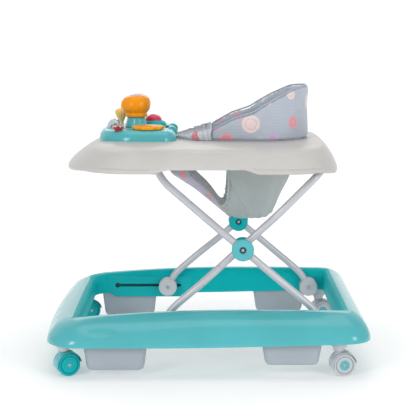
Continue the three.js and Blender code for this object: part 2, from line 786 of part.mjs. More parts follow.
// A wall that follows the backrest's plan, from `outside` to `inside` of it.
function backrestWall(outside, inside, foot, drop, endTrim) {
  const plan = backrestPlan();
  const path = plan.slice(endTrim, plan.length - endTrim);
  const stations = path.map((point, i) => {
    const before = path[Math.max(i - 1, 0)];
    const after = path[Math.min(i + 1, path.length - 1)];
    const inward = after.clone().sub(before).normalize().rotateAround(new THREE.Vector2(), Math.PI / 2);
    const top = linear(BACKREST_TOP, point.x) - drop;
    const outer = point.clone().addScaledVector(inward, outside);
    const inner = point.clone().addScaledVector(inward, inside);
    const middle = outer.clone().lerp(inner, 0.5);
    return [
      new THREE.Vector3(outer.x, outer.y, foot),
      new THREE.Vector3(outer.x, outer.y, top - 4),
      new THREE.Vector3(middle.x, middle.y, top),
      new THREE.Vector3(inner.x, inner.y, top - 4),
      new THREE.Vector3(inner.x, inner.y, foot),
    ];
  });
  return loft(stations, false);
}

function backrestPad() {
  const body = backrestWall(0, BACKREST.thickness, BACKREST.foot, 0, 0);
  return cut(body, backrestWall(4, 7, BACKREST.foot - 1, 12, 2));
}

function backrestBoard() {
  return backrestWall(4.4, 6.6, BACKREST.foot + 0.2, 13, 2);
}

// --------------------------------------------------------------- toy bar

// The toy bar's moulding: a shallow upturned tray with a notch for the roller.
function toyBase() {
  const level = (inset, z) => {
    const plan = planLoop({
      front: -240 + inset,
      rear: -66 - inset,
      half: 122 - inset,
      frontRadius: 78,
      rearRadius: 34,
      bow: 12,
    });
    return plan.filter((_, i) => i % 2 === 0).map((p) => new THREE.Vector3(p.x, p.y, z));
  };
  const low = TRAY.top + GAP;
  const outer = [level(0, low), level(2, 497), level(6, 505), level(13, TOY_DECK)];
  const inner = [level(15, TOY_DECK - 2.6), level(8.5, 503), level(4.6, 496), level(2.6, low)];
  const shell = loft([...inner, ...outer], false);
  const { roller } = TOYS;
  const filled = loft([level(1, low), level(3, 497), level(7, 504.5), level(14, TOY_DECK - 0.5)], false);
  const ears = [-1, 1].map((side) => {
    return block(-100, -60, ...span(side, roller.half + 1, roller.half + 5), low, 510);
  });
  const backWall = block(-95, -91, -roller.half - 4, roller.half + 4, low, 510);
  const inserts = join(...ears, backWall).intersect(filled);
  const notch = block(-91.5, -50, -roller.half - 1, roller.half + 1, 480, 520);
  const holes = [TOYS.neck, TOYS.flower, TOYS.bell].map(({ x, y }) => rodZ(SPIGOT.hole, x, y, 500, 515, 8));
  const axle = rodY(2.8, roller.x, roller.z, -roller.half - 8, roller.half + 8, 8);
  const well = rodZ(8.6, TOYS.smallButton.x, TOYS.smallButton.y, 500, 515, 12);
  return cut(join(shell, inserts), notch, axle, well, ...holes);
}

function toyNeck() {
  const { x, y } = TOYS.neck;
  const low = TOY_DECK + GAP;
  const { hole } = SPIGOT;
  return turned([[hole, low], [25, low], [21.5, 517], [19, 531], [hole, 531], [hole, low]], x, y, 16);
}

// The mushroom's cap turns on a spigot that runs down through the neck.
function mushroomHead() {
  const { x, y } = TOYS.neck;
  return turned([
    [0, 505], [SPIGOT.radius, 505], [SPIGOT.radius, 531.3], [22, 531.3], [24.5, 534], [24.5, 541],
    [27, 543.5], [32, 550], [33.5, 558], [31, 568], [24, 577], [12, 583], [0, 584.5],
  ], x, y, 18);
}

function rattleDome() {
  const { x, y } = TOYS.rattle;
  const low = TOY_DECK + GAP;
  return turned([
    [16.4, low], [18, low], [17.4, 515], [14.5, 523], [8.5, 529], [0, 531],
    [0, 529.4], [7.8, 527.5], [13.2, 522], [15.8, 515], [16.4, low],
  ], x, y, 16);
}

function rattleBead() {
  const { x, y, bead: radius } = TOYS.rattle;
  const low = TOY_DECK + GAP;
  const belt = 0.7 * radius;
  return turned([
    [0, low], [belt, low + radius - belt], [radius, low + radius],
    [belt, low + radius + belt], [0, low + 2 * radius],
  ], x, y, 8);
}

// A round step with a well for the large button.
function buttonPlatform() {
  const { x, y } = TOYS.platform;
  const low = TOY_DECK + GAP;
  return turned([
    [0, low], [30, low], [29, 514], [25, 518.5], [20, 520], [20, 512], [0, 512],
  ], x, y, 16);
}

function largeButton() {
  const { x, y } = TOYS.platform;
  return turned([
    [0, 517.5], [19.4, 517.5], [19.2, 522], [16, 529], [10, 533.2], [0, 535],
  ], x, y, 16);
}

function smallButton() {
  const { x, y } = TOYS.smallButton;
  return turned([
    [0, 503], [8, 503], [8, 511.5], [11.5, 511.5], [11, 514.5], [8, 518], [0, 519.5],
  ], x, y, 12);
}

function flowerDisc() {
  const { x, y, radius } = TOYS.flower;
  const petals = 10;
  const points = [];
  for (let i = 0; i < petals * 4; i += 1) {
    const angle = (2 * Math.PI * i) / (petals * 4);
    const reach = radius * (0.955 + 0.045 * Math.cos(petals * angle));
    points.push(new THREE.Vector2(x + reach * Math.cos(angle), y + reach * Math.sin(angle)));
  }
  const geometry = new THREE.ExtrudeGeometry(new THREE.Shape(points), { depth: 7, bevelEnabled: false });
  geometry.translate(0, 0, TOY_DECK + 0.5);
  return join(solidOf(geometry), rodZ(SPIGOT.radius, x, y, 504, 512, 8));
}

function bellToy() {
  const { x, y } = TOYS.bell;
  return turned([
    [0, 504], [SPIGOT.radius, 504], [SPIGOT.radius, TOY_DECK + 0.5], [7, TOY_DECK + 0.5],
    [6, 517], [11, 523], [13.5, 533],
    [10.5, 543], [4, 548], [0, 548.5],
  ], x, y, 12);
}

function rollerToy() {
  const { x, z, radius, half } = TOYS.roller;
  return join(rodY(radius, x, z, -half, half, 14), rodY(2.4, x, z, -half - 4.6, half + 4.6, 8));
}

// ----------------------------------------------------------------- assembly

const group = new THREE.Group();

function place(name, solid, material, parent = group) {
  const mesh = new THREE.Mesh(geometryOf(solid), material);
  mesh.name = name;
  parent.add(mesh);
}

place('base_frame', baseFrame(), TEAL);
for (const { name, sign } of SIDES) {
  place(`slide_track_${name}`, slideTrack(sign), TEAL);
  for (const kind of STOPPERS) {
    place(`stopper_${kind.name}_${name}`, stopper(kind, sign), STOPPER_GREY);
  }
}

const CASTERS = [
  { end: 'front', x: CASTER.frontX, yaw: CASTER.frontYaw, colour: TEAL },
  { end: 'rear', x: CASTER.rearX, yaw: CASTER.rearYaw, colour: LIGHT_GREY },
];
for (const { end, x, yaw, colour } of CASTERS) {
  for (const { name, sign } of SIDES) {
    const mount = new THREE.Group();
    mount.position.set(x, sign * CASTER.y, 0);
    mount.rotation.z = THREE.MathUtils.degToRad(yaw);
    group.add(mount);
    place(`caster_collar_${end}_${name}`, casterCollar(), LIGHT_GREY, mount);
    place(`caster_hood_${end}_${name}`, casterHood(), colour, mount);
    place(`caster_wheels_${end}_${name}`, casterWheels(), colour, mount);
  }
}

place('front_lift_tube', frontLiftTube(), PAINTED_STEEL);
place('rear_lift_tube', rearLiftTube(), PAINTED_STEEL);
for (const { name, sign } of SIDES) {
  place(`pivot_foot_${name}`, tubeFoot(PIVOT, FOOT_ANGLE.rear, sign), LIGHT_GREY);
  place(`slide_foot_${name}`, tubeFoot(SLIDER, FOOT_ANGLE.front, sign), LIGHT_GREY);
  place(`pivot_pin_${name}`, footPin(PIVOT, sign), STEEL);
  place(`slide_pin_${name}`, footPin(SLIDER, sign), STEEL);
  place(`hub_cap_outer_${name}`, hubCap(sign, false), TEAL);
  place(`hub_cap_inner_${name}`, hubCap(sign, true), TEAL);
  place(`hub_rivet_${name}`, hubRivet(sign), STEEL);
}

place('tray', tray(), TRAY_GREY);
for (const { name, sign } of SIDES) {
  place(`tray_rail_${name}`, trayRail(sign), TRAY_GREY);
  place(`tray_bracket_${name}`, trayBracket(sign), TRAY_GREY);
}
place('latch_rack', latchRack(), TRAY_GREY);
place('latch_carriage', latchCarriage(), LIGHT_GREY);
place('latch_catch', latchCatch(), RED);
place('latch_spring', coil(CATCH_X, 0, 437.3, 444.7, SPRING.catchRadius, 2.5), STEEL);

place('seat_sling', seatSling(), SLING_FABRIC);
place('seat_hoop', seatHoop(), LIGHT_GREY);
place('backrest_pad', backrestPad(), FABRIC);
place('backrest_board', backrestBoard(), BOARD);

place('toy_base', toyBase(), TEAL);
place('toy_neck', toyNeck(), TEAL);
place('mushroom_head', mushroomHead(), ORANGE);
place('rattle_dome', rattleDome(), CLEAR);
place('rattle_bead', rattleBead(), RED);
place('button_platform', buttonPlatform(), TEAL);
place('large_button', largeButton(), CRIMSON);
const { platform } = TOYS;
place('button_spring', coil(platform.x, platform.y, 512.2, 517.3, SPRING.buttonRadius, 2), STEEL);
place('small_button', smallButton(), RED);
place('flower_disc', flowerDisc(), YELLOW);
place('bell_toy', bellToy(), PALE_YELLOW);
place('roller_toy', rollerToy(), TEAL);

export default group;
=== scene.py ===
"""Looks of a baby walker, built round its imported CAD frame.

Outlines are in millimetres and are scaled to metres where a mesh is made.
+Z is up, -X is the front with the toy bar, and -Y is the left side.
"""
import json
import math

import bmesh
import bpy
from mathutils import Matrix, Vector, noise


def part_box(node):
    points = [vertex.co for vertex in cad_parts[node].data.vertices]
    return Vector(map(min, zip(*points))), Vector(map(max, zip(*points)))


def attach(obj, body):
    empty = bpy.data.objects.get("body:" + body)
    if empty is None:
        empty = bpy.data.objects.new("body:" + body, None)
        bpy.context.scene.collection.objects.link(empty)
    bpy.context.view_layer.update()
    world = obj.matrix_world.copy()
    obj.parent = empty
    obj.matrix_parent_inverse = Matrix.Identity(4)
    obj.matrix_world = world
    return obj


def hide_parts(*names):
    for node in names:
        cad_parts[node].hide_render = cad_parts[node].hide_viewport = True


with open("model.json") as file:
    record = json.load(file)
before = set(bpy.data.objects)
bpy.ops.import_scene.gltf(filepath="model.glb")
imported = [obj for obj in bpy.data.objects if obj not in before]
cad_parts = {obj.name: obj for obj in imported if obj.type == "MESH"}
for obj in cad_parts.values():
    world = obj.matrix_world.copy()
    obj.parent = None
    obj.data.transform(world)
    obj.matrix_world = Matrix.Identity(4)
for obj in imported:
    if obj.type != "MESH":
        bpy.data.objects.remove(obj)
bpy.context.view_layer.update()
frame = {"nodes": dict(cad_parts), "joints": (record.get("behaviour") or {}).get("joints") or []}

MM = 0.001
SIDES = {"left": -1, "right": 1}
JOINTS = {joint["name"]: joint for joint in frame["joints"]}


def box(node):
    """The lowest and highest corners of a CAD node, in millimetres."""
    low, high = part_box(node)
    return Vector(low) / MM, Vector(high) / MM


def pivot(joint):
    """A joint's point, in millimetres."""
    return Vector(JOINTS[joint]["pos_m"]) / MM


# ---------------------------------------------------------------- stage

CAMERA = {"place": (0.0045, -2.837, 0.743), "pitch": 8.44, "lens": 108.2}
LIGHTS = [
    # name, place, size, watts
    ("top", (0.1, -0.2, 2.6), (2.4, 2.0), 15),
    ("front_left", (-1.6, -2.3, 1.2), (0.8, 1.1), 18),
    ("front_right", (1.7, -2.1, 1.0), (0.8, 1.1), 15),
    ("back", (0.0, 2.2, 1.8), (2.4, 1.0), 9),
]
LIGHTS_AIM = Vector((0, 0, 0.3))
WORLD_STRENGTH = 0.5
# The backdrop in millimetres: a floor, a quarter turn up and a wall, seen from the side.
FLOOR_START, FLOOR_END = -5000, 1700
BEND_RADIUS = 900
WALL_TOP = 5000
HALF_WIDE = 6000


def camera():
    data = bpy.data.cameras.new("camera")
    data.lens = CAMERA["lens"]
    data.sensor_width = 36
    eye = bpy.data.objects.new("camera", data)
    eye.location = CAMERA["place"]
    eye.rotation_euler = (math.radians(90 - CAMERA["pitch"]), 0, 0)
    bpy.context.scene.collection.objects.link(eye)
    bpy.context.scene.camera = eye


def lights():
    for name, place, size, watts in LIGHTS:
        data = bpy.data.lights.new(name, "AREA")
        data.shape = "RECTANGLE"
        data.size, data.size_y = size
        data.energy = watts
        lamp = bpy.data.objects.new(name, data)
        lamp.location = place
        lamp.rotation_euler = (LIGHTS_AIM - Vector(place)).to_track_quat("-Z", "Y").to_euler()
        bpy.context.scene.collection.objects.link(lamp)
    world = bpy.data.worlds.new("studio")
    world.use_nodes = True
    world.node_tree.nodes["Background"].inputs["Color"].default_value = (1, 1, 1, 1)
    world.node_tree.nodes["Background"].inputs["Strength"].default_value = WORLD_STRENGTH
    bpy.context.scene.world = world
    bpy.context.scene.view_settings.view_transform = "Standard"


# ------------------------------------------------------------ materials

def linear(red, green, blue):
    """A colour from 0 to 255 a channel, as the shader wants it."""
    channels = [c / 255 for c in (red, green, blue)]
    return tuple(c / 12.92 if c <= 0.04045 else ((c + 0.055) / 1.055) ** 2.4 for c in channels) + (1,)


class Shader:
    """One procedural material round a principled shader."""

    def __init__(self, name, values):
        self.material = bpy.data.materials.new(name)
        self.material.use_nodes = True
        self.tree = self.material.node_tree
        self.surface = self.tree.nodes["Principled BSDF"]
        for socket, value in values.items():
            self.surface.inputs[socket].default_value = value
        self.place = self.node("TexCoord").outputs["Object"]

    def node(self, kind, **settings):
        made = self.tree.nodes.new("ShaderNode" + kind)
        for key, value in settings.items():
            setattr(made, key, value)
        return made

    def join(self, start, end):
        self.tree.links.new(start, end)

    def noise(self, scale, detail=3):
        made = self.node("TexNoise")
        made.inputs["Scale"].default_value = scale
        made.inputs["Detail"].default_value = detail
        self.join(self.place, made.inputs["Vector"])
        return made.outputs["Fac"]

    def ramp(self, factor, low, high):
        made = self.node("ValToRGB")
        made.color_ramp.elements[0].position = 0.35
        made.color_ramp.elements[1].position = 0.65
        made.color_ramp.elements[0].color = low
        made.color_ramp.elements[1].color = high
        self.join(factor, made.inputs["Fac"])
        return made.outputs["Color"]

    def ranged(self, value, from_low, from_high, to_low=0.0, to_high=1.0):
        made = self.node("MapRange")
        for socket, number in (("From Min", from_low), ("From Max", from_high),
                               ("To Min", to_low), ("To Max", to_high)):
            made.inputs[socket].default_value = number
        self.join(value, made.inputs["Value"])
        return made.outputs["Result"]

    def math(self, operation, first, second=0.0):
        made = self.node("Math", operation=operation)
        for socket, value in zip(made.inputs, (first, second)):
            if isinstance(value, (int, float)):
                socket.default_value = value
            else:
                self.join(value, socket)
        return made.outputs[0]

    def mix(self, factor, low, high):
        made = self.node("Mix", data_type="RGBA")
        self.join(factor, made.inputs[0])
        for socket, value in ((made.inputs[6], low), (made.inputs[7], high)):
            if isinstance(value, tuple):
                socket.default_value = value
            else:
                self.join(value, socket)
        return made.outputs[2]

    def bump(self, height, strength, distance):
        made = self.node("Bump")
        made.inputs["Strength"].default_value = strength
        made.inputs["Distance"].default_value = distance
        self.join(height, made.inputs["Height"])
        self.join(made.outputs["Normal"], self.surface.inputs["Normal"])

    def colour(self, output):
        self.join(output, self.surface.inputs["Base Color"])

    def roughness(self, output):
        self.join(output, self.surface.inputs["Roughness"])


def shade(colour, factor):
    return tuple(min(c * factor, 1.0) for c in colour[:3]) + (1,)


def moulded(name, colour, gloss, grain=0.02, coat=0.0, ior=1.48):
    """Moulded plastic: faint flow marks, uneven gloss, a fine skin, and sharp outer edges lightened as a
    painted highlight.
    """
    shader = Shader(name, {"Coat Weight": coat, "Coat Roughness": 0.12, "IOR": ior})
    body = shader.ramp(shader.noise(9), shade(colour, 0.95), shade(colour, 1.04))
    # Painted highlight: the colour is lightened where the surface is sharply convex.
    edge = shader.ranged(shader.node("NewGeometry").outputs["Pointiness"], 0.52, 0.62, 0.0, 0.25)
    shader.colour(shader.mix(edge, body, shade(colour, 1.25)))
    shader.roughness(shader.ranged(shader.noise(22), 0.3, 0.7, gloss - 0.015, gloss + 0.03))
    shader.bump(shader.noise(1100, 2), grain, 0.0004)
    return shader.material


def painted(name, colour):
    """Powder coat on a steel tube: satin, with a fine orange peel."""
    shader = Shader(name, {"Metallic": 0.15, "Coat Weight": 0.25, "Coat Roughness": 0.2})
    shader.colour(shader.ramp(shader.noise(14), shade(colour, 0.96), shade(colour, 1.03)))
    shader.roughness(shader.ranged(shader.noise(60), 0.3, 0.7, 0.27, 0.38))
    shader.bump(shader.noise(650, 2), 0.08, 0.0004)
    return shader.material


def zinc(name, colour):
    shader = Shader(name, {"Metallic": 1.0})
    shader.colour(shader.ramp(shader.noise(160), shade(colour, 0.8), colour))
    shader.roughness(shader.ranged(shader.noise(300), 0.3, 0.7, 0.22, 0.4))
    shader.bump(shader.noise(900, 2), 0.06, 0.0003)
    return shader.material


def clear(name):
    """Clear moulded plastic, with a little haze."""
    shader = Shader(name, {"Transmission Weight": 0.85, "IOR": 1.46})
    shader.colour(shader.ramp(shader.noise(30), linear(226, 232, 238), linear(244, 246, 250)))
    shader.roughness(shader.ranged(shader.noise(45), 0.3, 0.7, 0.04, 0.1))
    shader.bump(shader.noise(500, 2), 0.02, 0.0003)
    return shader.material


FABRIC = linear(183, 191, 203)
PEACH = linear(233, 212, 212)
CORAL = linear(232, 160, 172)
PINK = linear(240, 152, 166)
LILAC = linear(206, 178, 220)


def both_sides(print_spots, drop):
    """The left side's spots, and the same ones a little lower on the right side."""
    return print_spots + [((x, -y, z - drop), radius, colour) for (x, y, z), radius, colour in print_spots]


# Round spots printed on the cloth: place in millimetres, radius and colour.
PAD_PRINT = both_sides([
    ((98, -118, 524), 20, PEACH), ((194, -87, 526), 14, CORAL), ((190, -92, 588), 13, PEACH),
    ((44, -108, 488), 15, PINK), ((148, -116, 488), 16, LILAC), ((35, -103, 534), 13, CORAL),
    ((22, -98, 517), 8, PINK), ((72, -106, 541), 9, CORAL), ((136, -108, 571), 7, PEACH),
    ((-22, -84, 492), 11, PINK),
], 11) + [
    ((231, -26, 568), 17, PEACH), ((228, 34, 542), 13, LILAC), ((232, 2, 503), 10, CORAL),
    ((229, -44, 524), 8, LILAC), ((231, 22, 592), 8, PINK),
]
SLING_PRINT = both_sides([
    ((-54, -74, 406), 11, PINK), ((-34, -66, 390), 11, LILAC), ((-12, -56, 371), 12, LILAC),
    ((6, -44, 354), 10, PINK), ((22, -30, 341), 10, LILAC), ((38, -18, 328), 9, PINK),
    ((-70, -30, 400), 12, LILAC),
], 7) + [((-52, 0, 392), 12, PINK), ((-20, 0, 362), 11, LILAC)]


def weave(shader, pitch, depth):
    """Warp and weft ridges, along and across the cloth."""
    threads = []
    for direction in ("X", "Z"):
        ridge = shader.node("TexWave", bands_direction=direction)
        ridge.inputs["Scale"].default_value = 1 / (pitch * math.tau) * 0.31
        ridge.inputs["Distortion"].default_value = 0.6
        shader.join(shader.place, ridge.inputs["Vector"])
        threads.append(ridge.outputs["Fac"])
    cross = shader.math("MAXIMUM", *threads)
    folds = shader.math("MULTIPLY", shader.noise(26, 4), 2.2)
    shader.bump(shader.math("ADD", cross, folds), depth, 0.0008)
    return cross


SPOT_WOBBLE = 0.004  # how far the edges of the spots stray, as a share of the noise


def spots(shader, ground, print_spots):
    """Prints ringed spots with slightly uneven edges over the ground colour."""
    uneven = shader.node("Mix", data_type="VECTOR")
    uneven.inputs[0].default_value = SPOT_WOBBLE
    wobble = shader.node("TexNoise")
    wobble.inputs["Scale"].default_value = 70
    shader.join(shader.place, wobble.inputs["Vector"])
    shader.join(shader.place, uneven.inputs[4])
    shader.join(wobble.outputs["Color"], uneven.inputs[5])
    for place, radius, colour in print_spots:
        away = shader.node("VectorMath", operation="DISTANCE")
        # The mean of the noise is a half, so the centre strays as far as the coordinates do.
        away.inputs[1].default_value = (Vector(place) * MM).lerp(Vector((0.5, 0.5, 0.5)), SPOT_WOBBLE)
        shader.join(uneven.outputs[1], away.inputs[0])
        share = shader.math("DIVIDE", away.outputs["Value"], radius * MM)
        ring = shader.ranged(shader.math("ABSOLUTE", shader.math("SUBTRACT", share, 0.62)), 0.05, 0.1)
        within = shader.ranged(share, 0.96, 1.04, 1.0, 0.0)
        tone = shader.mix(ring, shade(colour, 0.86), colour)
        ground = shader.mix(within, ground, tone)
    return ground


def cloth(name, colour, print_spots=(), pitch=0.0011, depth=0.35):
    shader = Shader(name, {"Roughness": 0.85, "Sheen Weight": 0.25, "Sheen Roughness": 0.5})
    threads = weave(shader, pitch, depth)
    worn = shader.ramp(shader.noise(12, 4), shade(colour, 0.93), shade(colour, 1.05))
    # Painted shade: the cloth is darker in the gaps between the threads.
    ground = shader.mix(shader.ranged(threads, 0.2, 1.0, 0.35, 0.0), worn, shade(colour, 0.82))
    shader.colour(spots(shader, ground, print_spots))
    return shader.material


# The teal plastic in lit and shaded copies: the main colour is greyed a little, partly painted sheen, and
# the deeper, more saturated copy is painted shade for surfaces turned away from the lights.
TEAL_LOOK = moulded("teal_gloss", linear(81, 182, 189), 0.2, coat=0.3)
TEAL_SHADED = moulded("teal_painted_shade", linear(6, 176, 180), 0.34, ior=1.3)
# A copy of the teal for the base's inner walls: painted shade.
INNER_WALL_SHADE_LOOK = moulded("teal_inner_wall_painted_shade", linear(4, 180, 184), 0.42, ior=1.2)
# Dark teal for the inside of the slot: painted shade.
SLOT_SHADE_LOOK = moulded("slot_painted_shade", linear(6, 92, 96), 0.5)
TRAY_LOOK = moulded("tray_grey", linear(199, 197, 194), 0.36, coat=0.04, ior=1.3)
STOPPER_LOOK = moulded("stopper_grey", linear(168, 177, 186), 0.5, grain=0.12)
GREY_LOOK = moulded("light_grey", linear(200, 203, 208), 0.36, grain=0.05)
TUBE_LOOK = painted("tube_paint", linear(197, 198, 204))
ZINC_LOOK = zinc("zinc", linear(196, 198, 202))
# Near-black teal for the hub recesses: painted shade.
RECESS_SHADE_LOOK = moulded("recess_painted_shade", linear(38, 52, 58), 0.5)
CLEAR_LOOK = clear("clear_dome")
ORANGE_LOOK = moulded("orange", linear(248, 154, 0), 0.26, coat=0.1, ior=1.35)
YELLOW_LOOK = moulded("yellow", linear(246, 166, 6), 0.28, coat=0.1, ior=1.35)
PALE_LOOK = moulded("pale_yellow", linear(255, 208, 124), 0.28, coat=0.2)
CRIMSON_LOOK = moulded("crimson", linear(217, 56, 92), 0.24, coat=0.25)
RED_LOOK = moulded("red", linear(158, 20, 28), 0.28, coat=0.15)
LAVENDER_LOOK = moulded("lavender_cap", linear(206, 204, 220), 0.3, coat=0.2)
CREAM_LOOK = moulded("cream", linear(240, 226, 200), 0.3)
PAD_LOOK = cloth("seat_print", FABRIC, PAD_PRINT)
# A paler copy of the seat cloth for the gathered edge, standing for the light it catches: painted light.
RIM_LIT_LOOK = cloth("seat_rim_painted_light", linear(214, 218, 224), PAD_PRINT)
SLING_LOOK = cloth("sling_cloth", linear(180, 186, 186), SLING_PRINT, pitch=0.0009, depth=0.3)
PIPING_LOOK = cloth("piping", linear(170, 180, 195), pitch=0.0008)


# ------------------------------------------------------------ mesh tools

def new_object(name, points, faces, sharp=38):
    mesh = bpy.data.meshes.new(name)
    mesh.from_pydata([tuple(Vector(p) * MM) for p in points], [], faces)
    work = bmesh.new()
    work.from_mesh(mesh)
    bmesh.ops.remove_doubles(work, verts=work.verts, dist=1e-6)
    bmesh.ops.recalc_face_normals(work, faces=work.faces)
    work.to_mesh(mesh)
    work.free()
    smooth(mesh, sharp)
    made = bpy.data.objects.new(name, mesh)
    bpy.context.scene.collection.objects.link(made)
    return made


def smooth(mesh, sharp=38):
    mesh.polygons.foreach_set("use_smooth", [True] * len(mesh.polygons))
    mesh.set_sharp_from_angle(angle=math.radians(sharp))


def apply_modifiers(made):
    shape = made.evaluated_get(bpy.context.evaluated_depsgraph_get())
    mesh = bpy.data.meshes.new_from_object(shape)
    made.modifiers.clear()
    made.data = mesh


def combine(made, *others, operation="UNION"):
    """Adds the others to a piece, or cuts them out of it."""
    for other in others:
        step = made.modifiers.new("step", "BOOLEAN")
        step.operation = operation
        step.solver = "EXACT"
        step.object = other
        apply_modifiers(made)
        bpy.data.objects.remove(other)
    smooth(made.data)
    return made


def dress(made, look, slot, body, *nodes):
    """Gives a piece its material and body, and hides the nodes that it stands for. The finish slot is not
    used.
    """
    made.data.materials.clear()
    made.data.materials.append(look)
    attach(made, body)
    if nodes:
        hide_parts(*nodes)
    return made


def skin(name, rings, closed_row=False, closed_ring=True, capped=True, sharp=38):
    count = len(rings[0])
    points = [p for ring in rings for p in ring]
    faces = []
    for ring in range(len(rings) if closed_row else len(rings) - 1):
        here, there = ring * count, ((ring + 1) % len(rings)) * count
        for i in range(count if closed_ring else count - 1):
            j = (i + 1) % count
            faces.append((here + i, here + j, there + j, there + i))
    if capped and not closed_row and closed_ring:
        faces.append(tuple(range(count - 1, -1, -1)))
        faces.append(tuple(range(len(points) - count, len(points))))
    return new_object(name, points, faces, sharp)


def eased_corners(points, reach, limit, steps):
    """Replaces each inner corner by a curve that starts and ends at the reach from it.

    The limit is the largest share of a straight that a curve may take.
    """
    result = [points[0]]
    for before, corner, after in zip(points, points[1:], points[2:]):
        start = corner + (before - corner) * min(reach / max((before - corner).length, 1e-6), limit)
        end = corner + (after - corner) * min(reach / max((after - corner).length, 1e-6), limit)
        for i in range(steps + 1):
            t = i / steps
            result.append(start * (1 - t) ** 2 + corner * 2 * t * (1 - t) + end * t ** 2)
    return result + [points[-1]]


def rounded(profile, radius, steps=4):
    """Rounds each inner corner of a 2-D profile."""
    return eased_corners([Vector(p).to_2d() for p in profile], radius, 0.45, steps)


def spline(points, per_span):
    """A smooth curve through the points."""
    knots = [Vector(p) for p in points]
    knots = [knots[0] * 2 - knots[1]] + knots + [knots[-1] * 2 - knots[-2]]
    result = []
    for a, b, c, d in zip(knots, knots[1:], knots[2:], knots[3:]):
        for i in range(per_span):
            t = i / per_span
            result.append(0.5 * (2 * b + (c - a) * t + (2 * a - 5 * b + 4 * c - d) * t ** 2
                                 + (3 * b - a - 3 * c + d) * t ** 3))
    return result + [knots[-2]]


def turned(name, profile, centre, axis="Z", sides=56, soften=0.0, ribs=(0, 0.0)):
    """A turned piece. The profile is [radius, distance along the axis]."""
    profile = rounded(profile, soften) if soften else [Vector(p) for p in profile]
    count, depth = ribs
    rings = []
    for i in range(sides):
        angle = math.tau * i / sides
        swell = 1 + depth * math.cos(count * angle)
        ring = []
        for radius, along in profile:
            across = Vector((radius * swell * math.cos(angle), radius * swell * math.sin(angle), along))
            if axis == "Y":
                across = Vector((across.x, across.z, across.y))
            ring.append(across + Vector(centre))
        rings.append(ring)
    return skin(name, rings, closed_row=True, closed_ring=False, capped=False)


def bent(route, reach):
    """Replaces each inner corner of a 3-D route by a smooth bend."""
    return eased_corners(route, reach, 0.48, steps=10)


def swept(name, path, radius, sides, closed=False):
    """A round tube along a path, without twist."""
    path = [Vector(p) for p in path]
    last = len(path) - 1
    up = None
    rings = []
    for i, point in enumerate(path):
        after = path[(i + 1) % len(path)] if closed else path[min(i + 1, last)]
        before = path[i - 1] if closed or i > 0 else path[0]
        ahead = (after - before).normalized()
        up = ahead.orthogonal().normalized() if up is None else (up - ahead * up.dot(ahead)).normalized()
        side = ahead.cross(up)
        rings.append([point + (up * math.cos(a) + side * math.sin(a)) * radius
                      for a in (math.tau * k / sides for k in range(sides))])
    return skin(name, rings, closed_row=closed)


def prism(name, outline, y0, y1):
    """A flat outline in X and Z, from y0 to y1."""
    rings = [[Vector((x, y, z)) for x, z in outline] for y in (y0, y1)]
    return skin(name, rings)


def rod(name, radius, centre, length):
    """A plain round bar along Y."""
    half = length / 2
    return turned(name, [(0, -half), (radius, -half), (radius, half), (0, half)], centre, "Y", 48)


def thickened(made, thickness):
    """Gives a sheet its thickness, half on each side, and smooths it."""
    step = made.modifiers.new("cloth", "SOLIDIFY")
    step.thickness = thickness * MM
    step.offset = 0
    apply_modifiers(made)
    smooth(made.data, 70)


def bevel(made, width, segments=3):
    step = made.modifiers.new("edges", "BEVEL")
    step.width = width * MM
    step.segments = segments
    step.limit_method = "ANGLE"
    step.angle_limit = math.radians(35)
    return made


def plan_loop(front, rear, half, front_radius, rear_radius, bow=0.0, rear_bow=0.0,
              corner=16, straight=28):
    """A rounded rectangle in plan, with its front and rear edges bowed outward.

    Each corner has that many steps, and so has each straight.
    """
    corners = [
        (rear - rear_radius, half - rear_radius, rear_radius, 0),
        (front + front_radius, half - front_radius, front_radius, 90),
        (front + front_radius, front_radius - half, front_radius, 180),
        (rear - rear_radius, rear_radius - half, rear_radius, 270),
    ]
    arcs = []
    for x, y, radius, start in corners:
        turns = [math.radians(start + 90 * i / corner) for i in range(corner + 1)]
        arcs.append([Vector((x + radius * math.cos(a), y + radius * math.sin(a))) for a in turns])
    loop = []
    for i, arc in enumerate(arcs):
        following = arcs[(i + 1) % 4][0]
        loop += arc
        loop += [arc[-1].lerp(following, j / straight) for j in range(1, straight)]
    return [Vector((p.x + (bow * max(0, p.x / front) ** 2 - rear_bow * max(0, p.x / rear) ** 2)
                    * (p.y / half) ** 2, p.y)) for p in loop]


def eased(knots, position):
    """Eases between [position, value] knots."""
    if position <= knots[0][0]:
        return knots[0][1]
    for (x0, value0), (x1, value1) in zip(knots, knots[1:]):
        if position <= x1:
            t = (position - x0) / (x1 - x0)
            return value0 + (value1 - value0) * t * t * (3 - 2 * t)
    return knots[-1][1]


def linear_between(knots, position):
    for (x0, value0), (x1, value1) in zip(knots, knots[1:]):
        if position <= x1:
            return value0 + (value1 - value0) * max(position - x0, 0) / (x1 - x0)
    return knots[-1][1]


def walled(outline, thickness):
    """An outline of [across, up], and its copy set in by the thickness."""
    points = [Vector(p).to_2d() for p in outline]
    inner = []
    for i, point in enumerate(points):
        before = (point - points[i - 1]).normalized() if i > 0 else None
        after = (points[i + 1] - point).normalized() if i < len(points) - 1 else None
        normals = [Vector((d.y, -d.x)) for d in (before, after) if d is not None]
        middle = sum(normals, Vector((0, 0))).normalized()
        inner.append(point + middle * thickness / max(middle.dot(normals[0]), 0.6))
    return points + inner[::-1]


# ------------------------------------------------------------------ base

